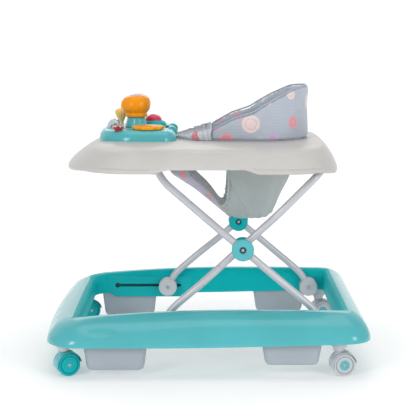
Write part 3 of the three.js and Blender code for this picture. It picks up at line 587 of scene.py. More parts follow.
WALL = 3
BASE_SIDE = 84
BASE_SECTION = [
    (0, 0), (2.5, 15), (12, 34), (27, 52), (46, 64), (60, 68), (74, 64.5), (82.5, 50), (84, 36), (84, 7),
]
SECTION_HEIGHT = 68
BASE_OUTER = {"front_radius": 72, "rear_radius": 52, "bow": 16}
BASE_INNER = {"front_radius": 30, "rear_radius": 14}
BASE_FRONT, BASE_REAR = 76, 60  # widths of the front and rear members
BASE_STEPS = 110
RECESS_REACH = 40  # how far across the section the thumb recess can reach
# Margins of the inner walls' painted shade, in from the inner plan.
SHADED_WALL_MARGIN = {"side": 16, "front": 62, "rear": 46}  # where the inner wall's look begins
# The slot and its panel, from the middle of the front foot. Heights are from the floor.
SLOT = {"ahead": 128.5, "behind": 32, "radius": 3.4, "hole": 6.2}
SLOT_DEPTH = 8
SLOT_PANEL = {"ahead": 147, "behind": 59, "top": 118, "foot": 67}
PANEL_CUTS = {"front": (14, 86), "rear": (24, 78)}  # the lower corners: along, height
PANEL_FACES = (-1.0, 1.4)
# Where the dark liner of painted shade lies round the slot.
SHADE_LINER = {"grow": 1.6, "near": 2.6, "far": 8.5, "back": 0.8}


def ridge_height(x, top):
    """Height of the base's ridge, which falls towards both ends."""
    return top - 3 * (max(x - 70, 0) / 280) ** 2 - 11 * (min(x - 70, 0) / 295) ** 2


def skirt_height(x):
    """Height of the base's lower edge, which rises towards the rear."""
    return 70 + 10 * max((x + 100) / 450, 0) ** 1.5


def thumb_recess(x, z):
    """A shallow leaf-shaped recess on each side, near the front."""
    away = ((x + 219) / 32) ** 2 + ((z - 99) / 8) ** 2
    return 2.6 * max(0.0, 1 - away) ** 0.6


def base():
    low, high = box("base_frame")
    outer = plan_loop(low.x, high.x, high.y, **BASE_OUTER, straight=BASE_STEPS)
    inner = plan_loop(low.x + BASE_FRONT, high.x - BASE_REAR, high.y - BASE_SIDE, **BASE_INNER,
                      straight=BASE_STEPS)
    section = walled(spline(BASE_SECTION, 4), WALL)
    rings = []
    for edge, wall in zip(outer, inner):
        ring = []
        for across, up in section:
            flat = edge.lerp(wall, across / BASE_SIDE)
            bottom = skirt_height(edge.x)
            z = bottom + up / SECTION_HEIGHT * (ridge_height(edge.x, high.z) - bottom)
            inward = math.copysign(thumb_recess(flat.x, z), -flat.y) if across < RECESS_REACH else 0
            ring.append(Vector((flat.x, flat.y + inward, z)))
        rings.append(ring)
    shell = skin("base_shell", rings, closed_row=True, sharp=50)
    for side, sign in SIDES.items():
        slide_track(side, sign, sign * (high.y - BASE_SIDE), shell)
    dress(shell, TEAL_LOOK, "teal_plastic", "base", "base_frame")
    # The inner walls take the shaded copy of the teal, by a polygon mask: painted shade.
    shell.data.materials.append(INNER_WALL_SHADE_LOOK)
    front, rear = low.x + SHADED_WALL_MARGIN["front"], high.x - SHADED_WALL_MARGIN["rear"]
    for polygon in shell.data.polygons:
        middle = polygon.center / MM
        if abs(middle.y) < high.y - BASE_SIDE + SHADED_WALL_MARGIN["side"] and front < middle.x < rear:
            polygon.material_index = 1


def slide_track(side, sign, wall, shell):
    """The slotted panel on an inner wall, the slot through the wall, and a dark liner round the slot. The
    panel's shaded teal and the dark liner are painted shade.
    """
    x, z = slider_place()
    front, rear = x - SLOT_PANEL["ahead"], x + SLOT_PANEL["behind"]
    foot, top = SLOT_PANEL["foot"], SLOT_PANEL["top"]
    (front_cut, front_height), (rear_cut, rear_height) = PANEL_CUTS["front"], PANEL_CUTS["rear"]
    outline = [(front, front_height), (front + front_cut, foot), (rear - rear_cut, foot),
               (rear, rear_height), (rear, top), (front, top)]
    panel = prism("slot_panel_" + side, outline, *(wall + sign * face for face in PANEL_FACES))
    combine(panel, slot_cutter(x, z, wall), operation="DIFFERENCE")
    combine(shell, slot_cutter(x, z, wall), operation="DIFFERENCE")
    dress(bevel(panel, 0.5), TEAL_SHADED, "teal_plastic", "base", "slide_track_" + side)
    # A dark sleeve round the slot, standing for the shade inside it: painted shade.
    shade_liner = prism("slot_shade_liner_" + side, slot_outline(x, z, SHADE_LINER["grow"]),
                  wall + sign * SHADE_LINER["near"], wall + sign * SHADE_LINER["far"])
    combine(shade_liner, slot_cutter(x, z, wall - sign * SHADE_LINER["back"]), operation="DIFFERENCE")
    dress(shade_liner, SLOT_SHADE_LOOK, "teal_plastic", "base")


def slider_place():
    """The middle of the front foot, along and up: the rear foot's mirrored about the hub."""
    hub, rear = pivot("scissor"), pivot("fold")
    return 2 * hub.x - rear.x, rear.z


def slot_outline(slider, z, grow=0.0):
    """A slot with a wider round hole at its front end, where the foot's pin goes in."""
    radius = SLOT["radius"]
    front, rear = slider - SLOT["ahead"] + radius, slider + SLOT["behind"] - radius
    radius += grow
    hole = SLOT["hole"] + grow
    neck = math.degrees(math.asin(radius / hole))
    outline = []
    for x, reach, start, sweep in ((rear, radius, -90, 180), (front, hole, neck, 360 - 2 * neck)):
        turns = [math.radians(start + sweep * i / 16) for i in range(17)]
        outline += [(x + reach * math.cos(a), z + reach * math.sin(a)) for a in turns]
    return outline


def slot_cutter(slider, z, face):
    return prism("slot", slot_outline(slider, z), face - SLOT_DEPTH, face + SLOT_DEPTH)


def stoppers():
    for side, sign in SIDES.items():
        for end in ("front", "rear"):
            low, high = box(f"stopper_{end}_{side}")
            rings = []
            for inset, narrow, z, radius in (
                (3, 2, high.z - 4, 9), (3, 2, high.z, 9), (0, 0, high.z, 9), (2, 1, 70, 10),
                (7, 4, low.z + 12, 12), (9, 5.5, low.z + 5, 13), (12, 8, low.z + 1.4, 12),
                (17, 13, low.z, 9),
            ):
                loop = plan_loop(low.x + inset, high.x - inset, (high.y - low.y) / 2 - narrow,
                                 radius, radius, corner=6, straight=4)
                rings.append([Vector((p.x, p.y + (low.y + high.y) / 2, z)) for p in loop])
            block = skin(f"stopper_block_{end}_{side}", rings, sharp=60)
            dress(block, STOPPER_LOOK, "stopper_plastic", "base", f"stopper_{end}_{side}")


# --------------------------------------------------------------- casters

def turned_by(made, place, yaw):
    made.data.transform(Matrix.Translation(Vector(place) * MM) @ Matrix.Rotation(yaw, 4, "Z"))
    return made


def casters():
    for end, hood_look, wheel_look, hub_look, slot in (
        ("front", TEAL_LOOK, TEAL_SHADED, TEAL_SHADED, "teal_plastic"),
        ("rear", GREY_LOOK, GREY_LOOK, TEAL_LOOK, "light_grey_plastic"),
    ):
        for side in SIDES:
            tag = f"{end}_{side}"
            mount = pivot(f"swivel_{tag}")
            axle = pivot(f"roll_{tag}")
            offset = axle - mount
            yaw = math.atan2(offset.y, offset.x)
            trail = offset.to_2d().length
            place = (mount.x, mount.y, 0)
            radius = axle.z
            collar = turned(f"collar_ring_{tag}", [
                (4.8, 53.4), (11, 53.4), (12.5, 60), (16.5, 65), (17, 72), (17, 82.5), (4.8, 82.5),
                (4.8, 53.4),
            ], (0, 0, 0), soften=1.2)
            dress(turned_by(collar, place, yaw), GREY_LOOK, "light_grey_plastic", "base",
                  f"caster_collar_{tag}")
            hood = caster_hood(tag, trail, radius)
            dress(turned_by(hood, place, yaw), hood_look, slot, f"caster_{tag}", f"caster_hood_{tag}")
            wheel = caster_wheels(tag, trail, radius)
            dress(turned_by(wheel, place, yaw), wheel_look, slot, f"wheels_{tag}",
                  f"caster_wheels_{tag}")
            for face, where in ((-1, "near"), (1, "far")):
                ring = turned(f"hub_ring_{tag}_{where}", [
                    (0, 14.6 * face), (10.2, 14.6 * face), (10.2, 15.9 * face), (8.4, 16.3 * face),
                    (5.6, 16.1 * face), (4.6, 15.4 * face), (0, 15.2 * face),
                ], (trail, 0, radius), "Y", 40)
                dress(turned_by(ring, place, yaw), hub_look, slot, f"wheels_{tag}")
                head = screw(f"wheel_screw_{tag}_{where}", (trail, 15.0 * face, radius), face, 3.6)
                dress(turned_by(head, place, yaw), ZINC_LOOK, "steel", f"wheels_{tag}")


def caster_hood(tag, trail, radius):
    cover = turned(f"hood_{tag}", [
        (0, -16.6), (26, -16.6), (28, -14.4), (28, 14.4), (26, 16.6), (0, 16.6),
    ], (trail, 0, radius), "Y", 56, soften=1.0)
    below = prism("below", [(-30, -12), (60, -12), (60, 34), (-30, 16)], -22, 22)
    combine(cover, below, operation="DIFFERENCE")
    for face in (-1, 1):
        room = rod("room", radius + 1.2, (trail, face * 11.5, radius), 17)
        combine(cover, room, operation="DIFFERENCE")
    neck = turned("neck", [(0, 38), (8.6, 38), (9.4, 46), (10.2, 52.6), (4, 52.6), (4, 66), (0, 66)],
                  (0, 0, 0), soften=1.0)
    return combine(cover, neck)


def caster_wheels(tag, trail, radius):
    """Both wheels and the axle, as one closed piece."""
    face = [(0, 15), (9, 15), (10, 14.2), (17.4, 14.2), (17.7, 11.4), (19.3, 11.4), (19.6, 15), (22.5, 15),
            (radius, 13), (radius, 5.5), (22, 4), (3, 4)]
    profile = [(across, -along) for across, along in face] + face[::-1]
    return turned(f"wheel_pair_{tag}", profile, (trail, 0, radius), "Y", 72, soften=0.8)


def screw(name, place, face, radius):
    """A domed screw head with a cross recess, looking along Y."""
    head = turned(name, [
        (0, 0), (radius, 0), (radius, 0.7 * face), (radius * 0.75, 1.3 * face), (0, 1.6 * face),
    ], place, "Y", 32, soften=0.3)
    x, y, z = place
    for long, tall in ((radius * 0.6, 0.5), (0.5, radius * 0.6)):
        slit = prism("slit", [(x - long, z - tall), (x + long, z - tall), (x + long, z + tall),
                              (x - long, z + tall)], y + 0.8 * face, y + 3 * face)
        combine(head, slit, operation="DIFFERENCE")
    return head


# ----------------------------------------------------------------- tubes

TUBE_RADIUS = 8
OUTSIDE_Y = 201
INSIDE_Y = 184
TOP_Y = 178
REAR_BAR_Y = 124  # where the rear tube, turned inward under the tray, meets its cross bar
FOOT_GAP = 6
# Directions from the hub, in degrees, of each tube's lower and upper half.
FRONT_LOWER, FRONT_UPPER = -40.2, 139.8
REAR_LOWER, REAR_UPPER = 220.2, 45.1


def from_hub(distance, degrees):
    angle = math.radians(degrees)
    hub = pivot("scissor")
    return hub.x + distance * math.cos(angle), hub.z + distance * math.sin(angle)


def foot_start(foot, degrees):
    angle = math.radians(degrees)
    return foot[0] + FOOT_GAP * math.cos(angle), foot[1] + FOOT_GAP * math.sin(angle)


def lift_tube(name, leg, body, node):
    left = [Vector((x, -y, z)) for (x, z), y in leg]
    right = [Vector((x, y, z)) for (x, z), y in reversed(leg)]
    tube = swept(name, bent(left + right, 30), TUBE_RADIUS, 24)
    dress(tube, TUBE_LOOK, "painted_tube", body, node)


def tubes():
    rear = pivot("fold")
    front_bar, rear_bar = pivot("catch_level"), pivot("tray_level")
    lift_tube("outer_tube", [
        (foot_start((rear.x, rear.z), 118), OUTSIDE_Y), (from_hub(202, FRONT_LOWER), OUTSIDE_Y),
        (from_hub(60, FRONT_UPPER), OUTSIDE_Y), (from_hub(230, FRONT_UPPER), TOP_Y + 3),
        ((front_bar.x, front_bar.z), TOP_Y),
    ], "front_lift", "front_lift_tube")
    lift_tube("inner_tube", [
        (foot_start(slider_place(), 62), OUTSIDE_Y), (from_hub(202, REAR_LOWER), OUTSIDE_Y),
        (from_hub(108, REAR_LOWER), OUTSIDE_Y), (from_hub(58, REAR_LOWER), INSIDE_Y),
        (from_hub(58, REAR_UPPER), INSIDE_Y), (from_hub(108, REAR_UPPER), OUTSIDE_Y),
        (from_hub(234, REAR_UPPER), OUTSIDE_Y - 3), ((rear_bar.x, rear_bar.z), REAR_BAR_Y),
    ], "rear_lift", "rear_lift_tube")


def disc_space(node):
    """The radius and middle of a disc that lies along Y, and its distances from the walker's middle."""
    low, high = box(node)
    near, far = sorted((abs(low.y), abs(high.y)))
    return (high.x - low.x) / 2, ((low.x + high.x) / 2, 0, (low.z + high.z) / 2), near, far


def feet_and_hubs():
    for side, sign in SIDES.items():
        for kind, body in (("pivot", "front_lift"), ("slide", "rear_lift")):
            node = f"{kind}_foot_{side}"
            _, middle, near, far = disc_space(node)
            disc = turned(f"{kind}_disc_{side}", [
                (0, sign * (near + 1.5)), (6, sign * (near + 1.5)), (7, sign * near), (19, sign * near),
                (22, sign * (near + 2.5)), (22, sign * (far - 2.5)), (20, sign * far), (0, sign * far),
            ], middle, "Y", 56, soften=1.0)
            dress(disc, GREY_LOOK, "light_grey_plastic", body, node)
            head = screw(f"{kind}_foot_screw_{side}", (middle[0], sign * (near + 0.4), middle[2]),
                         -sign, 3.4)
            dress(head, ZINC_LOOK, "steel", body, f"{kind}_pin_{side}")
        for place, body in (("outer", "front_lift"), ("inner", "rear_lift")):
            hub_cap(side, sign, place, body)


def hub_cap(side, sign, place, body):
    node = f"hub_cap_{place}_{side}"
    radius, middle, near, far = disc_space(node)
    touch, face = (near, far) if place == "outer" else (far, near)
    out = math.copysign(1, face - touch)

    def level(height):
        return sign * (touch + out * height)

    depth = abs(face - touch)
    cap = turned(f"hub_face_{place}_{side}", [
        (0, level(0.2)), (radius, level(0.2)), (radius, level(depth - 2)), (radius - 2.4, level(depth)),
        (7.6, level(depth)), (7.0, level(1.6)), (0, level(1.6)),
    ], middle, "Y", 72, soften=0.8)
    # The inner caps, which face into the walker, take the shaded copy of the teal: painted shade.
    look = TEAL_LOOK if place == "outer" else TEAL_SHADED
    dress(cap, look, "teal_plastic", body, node)
    # A dark ring in the cap's recess round the screw: painted shade.
    ring = turned(f"hub_recess_shade_{place}_{side}", [
        (3.8, level(1.7)), (6.4, level(1.7)), (6.4, level(2.5)), (3.8, level(2.5)), (3.8, level(1.7)),
    ], middle, "Y", 40)
    dress(ring, RECESS_SHADE_LOOK, "teal_plastic", body)
    head = screw(f"hub_screw_{place}_{side}", (middle[0], level(1.8), middle[2]), sign * out, 3.6)
    nodes = (f"hub_rivet_{side}",) if place == "outer" else ()
    dress(head, ZINC_LOOK, "steel", body, *nodes)


# ------------------------------------------------------------------ tray

TRAY_SHOULDER = [
    (3.4, 0), (0.9, 1.6), (0, 4.6), (0.9, 8), (4, 14), (9.5, 22.4), (16.7, 31.4), (24.5, 39.6), (33, 47),
    (43, 52), (56, 54.7), (72, 55.5), (110, 55.5),
]
TRAY_FLANGE = [(149, 55.5), (152.6, 54.6), (154, 51.5), (154, 38)]
TRAY_CREST = 128  # from the middle to the crest, from where the deck falls outwards
TRAY_SHOULDERS = 94  # from the crest to the outer edge
TRAY_FALL = 8.5
TRAY_EDGE = [
    # along, height of the lower edge
    (-309, 426), (-260, 431), (-114, 431), (-80, 439), (78, 439), (114, 430), (235, 430), (297, 421),
]
TRAY_HEIGHT = 55.5
TRAY_SLOPE = 38
TRAY_DECK = 116
TRAY_FOOT = {"front_radius": 136, "rear_radius": 112, "bow": 42, "rear_bow": 33}
TRAY_RIM = {"front_radius": 98, "rear_radius": 76, "bow": 26, "rear_bow": 12}
TRAY_OPENING = {"front_radius": 100, "rear_radius": 100}
TRAY_REAR_CUT = 3
RIM_INSET = (65, 35, 38)  # from the front, the rear and the sides of the CAD box
OPENING_INSET = (245, 75, 154)
TRAY_STEPS = 72
TRAY_ARCHES = [(-180, 66, 50), (176, 88, 34)]  # middle, half its width, height
ARCH_FOOT = 431
ARCH_PROUD = 3.2


def arch(x, z):
    """How far the embossed arches stand out of the tray's sides."""
    proud = 0.0
    for middle, half, tall in TRAY_ARCHES:
        away = ((x - middle) / half) ** 2 + ((z - ARCH_FOOT) / tall) ** 2
        proud = max(proud, ARCH_PROUD * min(max((1 - away) * 4 + 0.5, 0), 1))
    return proud


def deck_fall(y):
    """How far the deck lies below its crest."""
    return TRAY_FALL * (min(max(abs(y) - TRAY_CREST, 0), TRAY_SHOULDERS) / TRAY_SHOULDERS) ** 1.5


def inset_loop(low, high, inset, shape):
    front, rear, sides = inset
    return plan_loop(low.x + front, high.x - rear, high.y - sides, **shape, straight=TRAY_STEPS)


def tray():
    low, high = box("tray")
    foot = inset_loop(low, high, (0, TRAY_REAR_CUT, 0), TRAY_FOOT)
    rim = inset_loop(low, high, RIM_INSET, TRAY_RIM)
    opening = inset_loop(low, high, OPENING_INSET, TRAY_OPENING)
    section = walled(spline(TRAY_SHOULDER, 3) + [Vector(p) for p in TRAY_FLANGE], WALL)
    top = high.z
    rings = []
    for edge, brow, hole in zip(foot, rim, opening):
        ring = []
        bottom = eased(TRAY_EDGE, edge.x)
        for across, up in section:
            if across < TRAY_SLOPE:
                flat = edge.lerp(brow, across / TRAY_SLOPE)
            else:
                flat = brow.lerp(hole, min((across - TRAY_SLOPE) / TRAY_DECK, 1.02))
            level = up > TRAY_HEIGHT - 2 * WALL or across >= TRAY_SLOPE
            z = top - TRAY_HEIGHT + up if level else bottom + up / TRAY_HEIGHT * (top - bottom)
            z -= deck_fall(flat.y) * min(max(up / TRAY_HEIGHT, 0), 1)
            out = arch(flat.x, z) if 3 < across < 36 else 0
            ring.append(Vector((flat.x, flat.y + math.copysign(out, flat.y), z)))
        rings.append(ring)
    shell = skin("tray_shell", rings, closed_row=True, sharp=50)
    dress(shell, TRAY_LOOK, "tray_plastic", "play_tray", "tray")


# ---------------------------------------------------------------- toy bar

TOY_BAR = {"front_radius": 78, "rear_radius": 34, "bow": 12}
ROLLER_ROOM = {"ahead": 13.5, "behind": 40, "foot": 488, "top": 530, "half": 36.2}


def toy_base():
    low, high = box("toy_base")
    deck = high.z
    levels = [(3, low.z - 7), (0.6, low.z - 5.5), (0, low.z + 4), (2, low.z + 11), (4.5, low.z + 16),
              (7.5, deck - 3.2), (11, deck - 0.8), (15, deck)]
    rings = []
    for inset, z in levels:
        loop = plan_loop(low.x + inset, high.x - inset, high.y - inset, **TOY_BAR, corner=14, straight=10)
        rings.append([Vector((p.x, p.y, z)) for p in loop])
    body = skin("toy_bar", rings, sharp=60)
    roller = pivot("roller_turn")
    front, rear = roller.x - ROLLER_ROOM["ahead"], roller.x + ROLLER_ROOM["behind"]
    foot, top, half = ROLLER_ROOM["foot"], ROLLER_ROOM["top"], ROLLER_ROOM["half"]
    room = prism("room", [(front, foot), (rear, foot), (rear, top), (front, top)], -half, half)
    combine(body, room, operation="DIFFERENCE")
    dress(body, TEAL_LOOK, "teal_plastic", "play_tray", "toy_base")
    for side, sign in SIDES.items():
        ear = turned(f"roller_ear_{side}", [
            (0, 36.3 * sign), (10.2, 36.3 * sign), (11.4, 37.6 * sign), (11.4, 43 * sign), (10, 44.6 * sign),
            (0, 44.6 * sign),
        ], (roller.x + 2, 0, roller.z + 1), "Y", 48, soften=1.0)
        dress(ear, TEAL_LOOK, "teal_plastic", "play_tray")


def middle_of(node):
    low, high = box(node)
    return (low.x + high.x) / 2, (low.y + high.y) / 2, low.z, high.z


def toy(node, name, shape, look, slot, body, **settings):
    """A piece turned on its CAD node's upright axis, shaped from the node's lowest and highest levels."""
    x, y, low, high = middle_of(node)
    return dress(turned(name, shape(low, high), (x, y, 0), **settings), look, slot, body, node)


def lean_cap(made, middle):
    """Leans the swelling of the mushroom's head a little to the front."""
    for vertex in made.data.vertices:
        share = min(max((vertex.co.z / MM - 541) / 16, 0), 1)
        away = vertex.co.x / MM - middle
        vertex.co.z += share * 0.09 * away * MM
        vertex.co.x -= share * (1.2 + max(-away, 0) * 0.03) * MM


def toys():
    toy("toy_neck", "mushroom_stalk", lambda low, high: [
        (3.6, low), (25, low), (24.8, low + 3), (22.8, low + 10), (20.6, high - 3), (19.6, high),
        (3.6, high), (3.6, low),
    ], TEAL_LOOK, "teal_plastic", "play_tray", soften=1.2, ribs=(8, 0.012), sides=96)
    mushroom()
    rattle()
    toy("button_platform", "button_step", lambda low, high: [
        (0, low), (30, low), (29.4, low + 3.4), (26, low + 8.8), (21.2, high), (20.2, high),
        (20, low + 3), (0, low + 3),
    ], TEAL_SHADED, "teal_plastic", "play_tray", soften=0.9)
    toy("large_button", "crimson_button", lambda low, high: [
        (0, low + 4.5), (12.6, low + 4.5), (12.6, low), (19.3, low), (19.2, low + 4.5), (17, low + 10),
        (12.6, low + 14), (6, high - 0.6), (0, high),
    ], CRIMSON_LOOK, "crimson_plastic", "large_button", soften=1.8)
    small_button()
    flower()
    toy("bell_toy", "ribbed_bell", lambda low, high: [
        (0, low), (2.8, low), (2.8, 509.7), (6, 509.7), (5.2, 516), (7.4, 522), (11, 530), (13.4, 537),
        (13.2, 542), (9.6, 545.6), (4, high - 0.4), (0, high),
    ], PALE_LOOK, "pale_yellow_plastic", "bell", soften=1.2, ribs=(12, 0.05), sides=96)
    half = [(9.8, 33.6), (8.6, 35), (2.3, 35.4), (2.3, 39.4), (0, 39.4)]
    roller = turned("ribbed_roller", [
        (0, -39.4), (2.3, -39.4), (2.3, -35.4), (8.6, -35), (9.8, -33.6), *half,
    ], pivot("roller_turn"), "Y", 84, soften=0.8, ribs=(14, 0.02))
    dress(roller, TEAL_LOOK, "teal_plastic", "roller", "roller_toy")


def mushroom():
    x, y, _, high = middle_of("mushroom_head")
    head = toy("mushroom_head", "mushroom_cap", lambda low, high: [
        (0, low), (2.8, low), (2.8, 531.4), (22, 531.4), (24.6, 533.2), (24.9, 538.6), (23.4, 541.4),
        (27, 544), (31.4, 549.5), (33.3, 556.6), (33, 563.8), (30.2, 571.4), (24.4, 577.4), (17, 580.4),
        (0, 581.2),
    ], ORANGE_LOOK, "orange_plastic", "mushroom", soften=1.6, sides=96, ribs=(7, 0.012))
    lean_cap(head, x)
    knob = turned("mushroom_knob", [(0, 578), (15.5, 578), (14.8, 581.6), (10.4, 583.6), (0, high - 1)],
                  (x + 1, y, 0), soften=1.2)
    lean_cap(knob, x)
    dress(knob, LAVENDER_LOOK, "light_grey_plastic", "mushroom")


def rattle():
    toy("rattle_dome", "clear_dome", lambda low, high: [
        (16.4, low), (18, low), (17.6, low + 5), (14.8, low + 13), (9, low + 19.4), (0, high),
        (0, high - 1.6), (8, low + 17.9), (13.4, low + 12.4), (16, low + 5), (16.4, low),
    ], CLEAR_LOOK, "clear_plastic", "play_tray", soften=1.0)
    x, y, low, _ = middle_of("rattle_dome")
    beads = [(0, 0, 5, RED_LOOK), (8, 4, 3.4, CREAM_LOOK), (-8, 4, 3.4, TEAL_LOOK),
             (1, -9.5, 3.2, YELLOW_LOOK)]
    for number, (dx, dy, radius, look) in enumerate(beads):
        turns = [math.pi * i / 10 for i in range(11)]
        ball = [(radius * math.sin(a), low + radius * (1 - math.cos(a))) for a in turns]
        bead = turned(f"bead_{number}", ball, (x + dx, y + dy, 0), sides=24)
        dress(bead, look, "red_plastic", "play_tray", *(("rattle_bead",) if number == 0 else ()))


def small_button():
    toy("small_button", "small_knob", lambda low, high: [
        (0, low), (7.9, low), (7.9, low + 8.6), (11.4, low + 8.6), (11.4, low + 10.4), (10, low + 14),
        (6.8, high - 1.4), (3, high - 0.2), (0, high),
    ], RED_LOOK, "red_plastic", "small_button", soften=1.0)
    x, y, low, _ = middle_of("small_button")
    count, reach = 5, 8.4
    for number in range(count):
        angle = math.tau * (number + 0.25) / count
        dot = turned(f"small_knob_dot_{number}", [(0, -1.4), (2.2, -1), (2.2, 1), (1.5, 1.9), (0, 2.1)],
                     (x + reach * math.cos(angle), y + reach * math.sin(angle), low + 13.4), sides=20)
        dress(dot, CREAM_LOOK, "red_plastic", "small_button")


def flower():
    radius = 34.2
    toy("flower_disc", "flower_petals", lambda low, high: [
        (0, low), (2.8, low), (2.8, 509.6), (radius - 2, 509.6), (radius, 511.6), (radius, 516),
        (radius - 2.6, 518), (17, 517), (13, high), (0, high),
    ], YELLOW_LOOK, "yellow_plastic", "flower", soften=0.9, ribs=(10, 0.055), sides=120)
    x, y, _, high = middle_of("flower_disc")
    hub = turned("flower_hub", [
        (0, high - 0.8), (10.5, high - 0.8), (9.6, high + 1.6), (5, high + 2.6), (0, high + 2.8),
    ], (x, y, 0), soften=0.8)
    dress(hub, ORANGE_LOOK, "orange_plastic", "flower")


# ------------------------------------------------------------------ seat

BACK_TOP = [(9, 511), (60, 538), (100, 551), (150, 579), (200, 602), (232, 607)]
SLING_LEVELS = [
    # z, front, rear, half
    (484, -60, 218, 102), (462, -60, 216, 102), (436, -72, 210, 101), (405, -82, 194, 96),
    (370, -30, 178, 88), (340, 14, 164, 78), (316, 44, 152, 62), (304, 60, 138, 36),
]
SLING_TOP, SLING_DROP, SLING_ROWS = 484, 180, 44
SWELL_FRAMES = 20
WING_HALF = 95  # half the width between the front ends of the wings
PIPING_INSET = 7.5
RUFFLE_FRONT = -66
RUFFLE_MIDDLE = Vector((60, 0))
LEG_OPENING = [(-50, 446), (44, 446), (51, 400), (48, 350), (41, 335), (30, 338), (3, 372), (-38, 408)]


def wall_plan():
    """The plan of the backrest: two slightly closing wings and a round back."""
    steps = 28
    low, high = box("backrest_pad")
    half = high.y
    centre = high.x - half
    points = []
    for i in range(steps):
        t = i / steps
        points.append(Vector((low.x + (centre - low.x) * t, -(WING_HALF + (half - WING_HALF) * t ** 0.6))))
    for i in range(2 * steps + 1):
        angle = math.pi * (i / (2 * steps) - 0.5)
        points.append(Vector((centre + half * math.cos(angle), half * math.sin(angle))))
    return points + [Vector((p.x, -p.y)) for p in reversed(points[:steps])]


def wall_normals(plan):
    last = len(plan) - 1
    normals = []
    for i in range(len(plan)):
        ahead = (plan[min(i + 1, last)] - plan[max(i - 1, 0)]).normalized()
        normals.append(Vector((-ahead.y, ahead.x)))
    return normals


def pad_start(outside, inside, drop):
    """The padded wall before it swells, with its faces and its top set in from the CAD wall's."""
    low, _ = box("backrest_pad")
    plan = wall_plan()
    rings = []
    for point, inward in zip(plan, wall_normals(plan)):
        top = linear_between(BACK_TOP, point.x) - drop
        ring = []
        for share, z in ((0, low.z + 0.6), (0, top - 5), (0.5, top), (1, top - 5), (1, low.z + 0.6)):
            spot = point + inward * (outside + (inside - outside) * share)
            ring.append(Vector((spot.x, spot.y, z)))
        rings.append(ring)
    return skin("backrest_cover", rings)


def swell(made, voxel, pressure, cap, pinned):
    """Inflates a cushion with a short cloth simulation, and caps how far a point may move."""
    step = made.modifiers.new("remesh", "REMESH")
    step.mode = "VOXEL"
    step.voxel_size = voxel
    apply_modifiers(made)
    start = [v.co.copy() for v in made.data.vertices]
    held = made.vertex_groups.new(name="held")
    held.add([v.index for v in made.data.vertices if pinned(v.co)], 1.0, "REPLACE")
    sim = made.modifiers.new("cloth", "CLOTH")
    sim.settings.use_pressure = True
    sim.settings.uniform_pressure_force = pressure
    sim.settings.vertex_group_mass = "held"
    sim.settings.effector_weights.gravity = 0
    sim.settings.quality = 5
    sim.point_cache.frame_start = 1
    sim.point_cache.frame_end = SWELL_FRAMES
    for number in range(1, SWELL_FRAMES + 1):
        bpy.context.scene.frame_set(number)
    apply_modifiers(made)
    bpy.context.scene.frame_set(1)
    for vertex, before in zip(made.data.vertices, start):
        moved = vertex.co - before
        if moved.length > cap:
            vertex.co = before + moved.normalized() * cap
    return made


def backrest():
    low, _ = box("backrest_pad")
    pad = pad_start(outside=2.5, inside=12, drop=0.5)
    foot = (low.z + 4) * MM
    swell(pad, voxel=0.005, pressure=4.0, cap=0.004, pinned=lambda co: co.z < foot)
    relax = pad.modifiers.new("relax", "SMOOTH")
    relax.factor = 0.5
    relax.iterations = 3
    soften = pad.modifiers.new("surface", "SUBSURF")
    soften.levels = 1
    soften.render_levels = 1
    apply_modifiers(pad)
    crumple(pad)
    smooth(pad.data, 80)
    dress(pad, PAD_LOOK, "seat_fabric", "play_tray", "backrest_pad", "backrest_board")
    edge_piping()


def crumple(pad):
    """Soft dents that the cover of a thin pad shows between its seams."""
    for vertex in pad.data.vertices:
        place = vertex.co
        slope = Vector((place.x, place.y * 1.3, place.z)) * 17
        dent = noise.noise(slope) * 0.0016 + noise.noise(slope * 3.1) * 0.0004
        outward = Vector((place.x - 0.114, place.y, 0))
        if outward.length > 0:
            vertex.co += outward.normalized() * dent


def edge_piping():
    plan = wall_plan()
    normals = wall_normals(plan)
    low, _ = box("backrest_pad")
    crest = []
    for point, inward in zip(plan, normals):
        spot = point + inward * PIPING_INSET
        crest.append(Vector((spot.x, spot.y, linear_between(BACK_TOP, point.x) - 2.6)))
    ends = []
    for point, inward in ((plan[0], normals[0]), (plan[-1], normals[-1])):
        spot = point + inward * PIPING_INSET
        ends.append(Vector((spot.x + 0.6, spot.y, low.z + 2)))
    path = bent([ends[0]] + crest[:1], 6) + crest[1:-1] + bent([crest[-1], ends[1]], 6)
    dress(swept("edge_piping", path, 1.9, 12), PIPING_LOOK, "seat_fabric", "play_tray")


def sling_level(z):
    """Front, rear and half width of the hanging seat at one height."""
    rows = list(reversed(SLING_LEVELS))
    return [linear_between([(row[0], row[k]) for row in rows], z) for k in (1, 2, 3)]


def sling_half(x, z):
    """How far from the middle the hanging seat's side is."""
    front, rear, half = sling_level(z)
    radius = min(half - 6, (rear - front) / 2 - 1)
    reach = max(front + radius - x, x - (rear - radius), 0)
    return half - radius + math.sqrt(max(radius ** 2 - reach ** 2, 0))


def folds(angle, z):
    """Hanging folds, deeper towards the bottom."""
    depth = 1.0 + 4.6 * max(0.0, (455 - z) / 140)
    lean = 1.3 * math.sin(angle) * (450 - z) / 100
    wave = math.sin(11 * angle + lean + 0.9 * math.sin(z / 23)) + 0.7 * math.sin(23 * angle - lean + z / 31)
    return depth * 0.5 * (wave - 1.6)


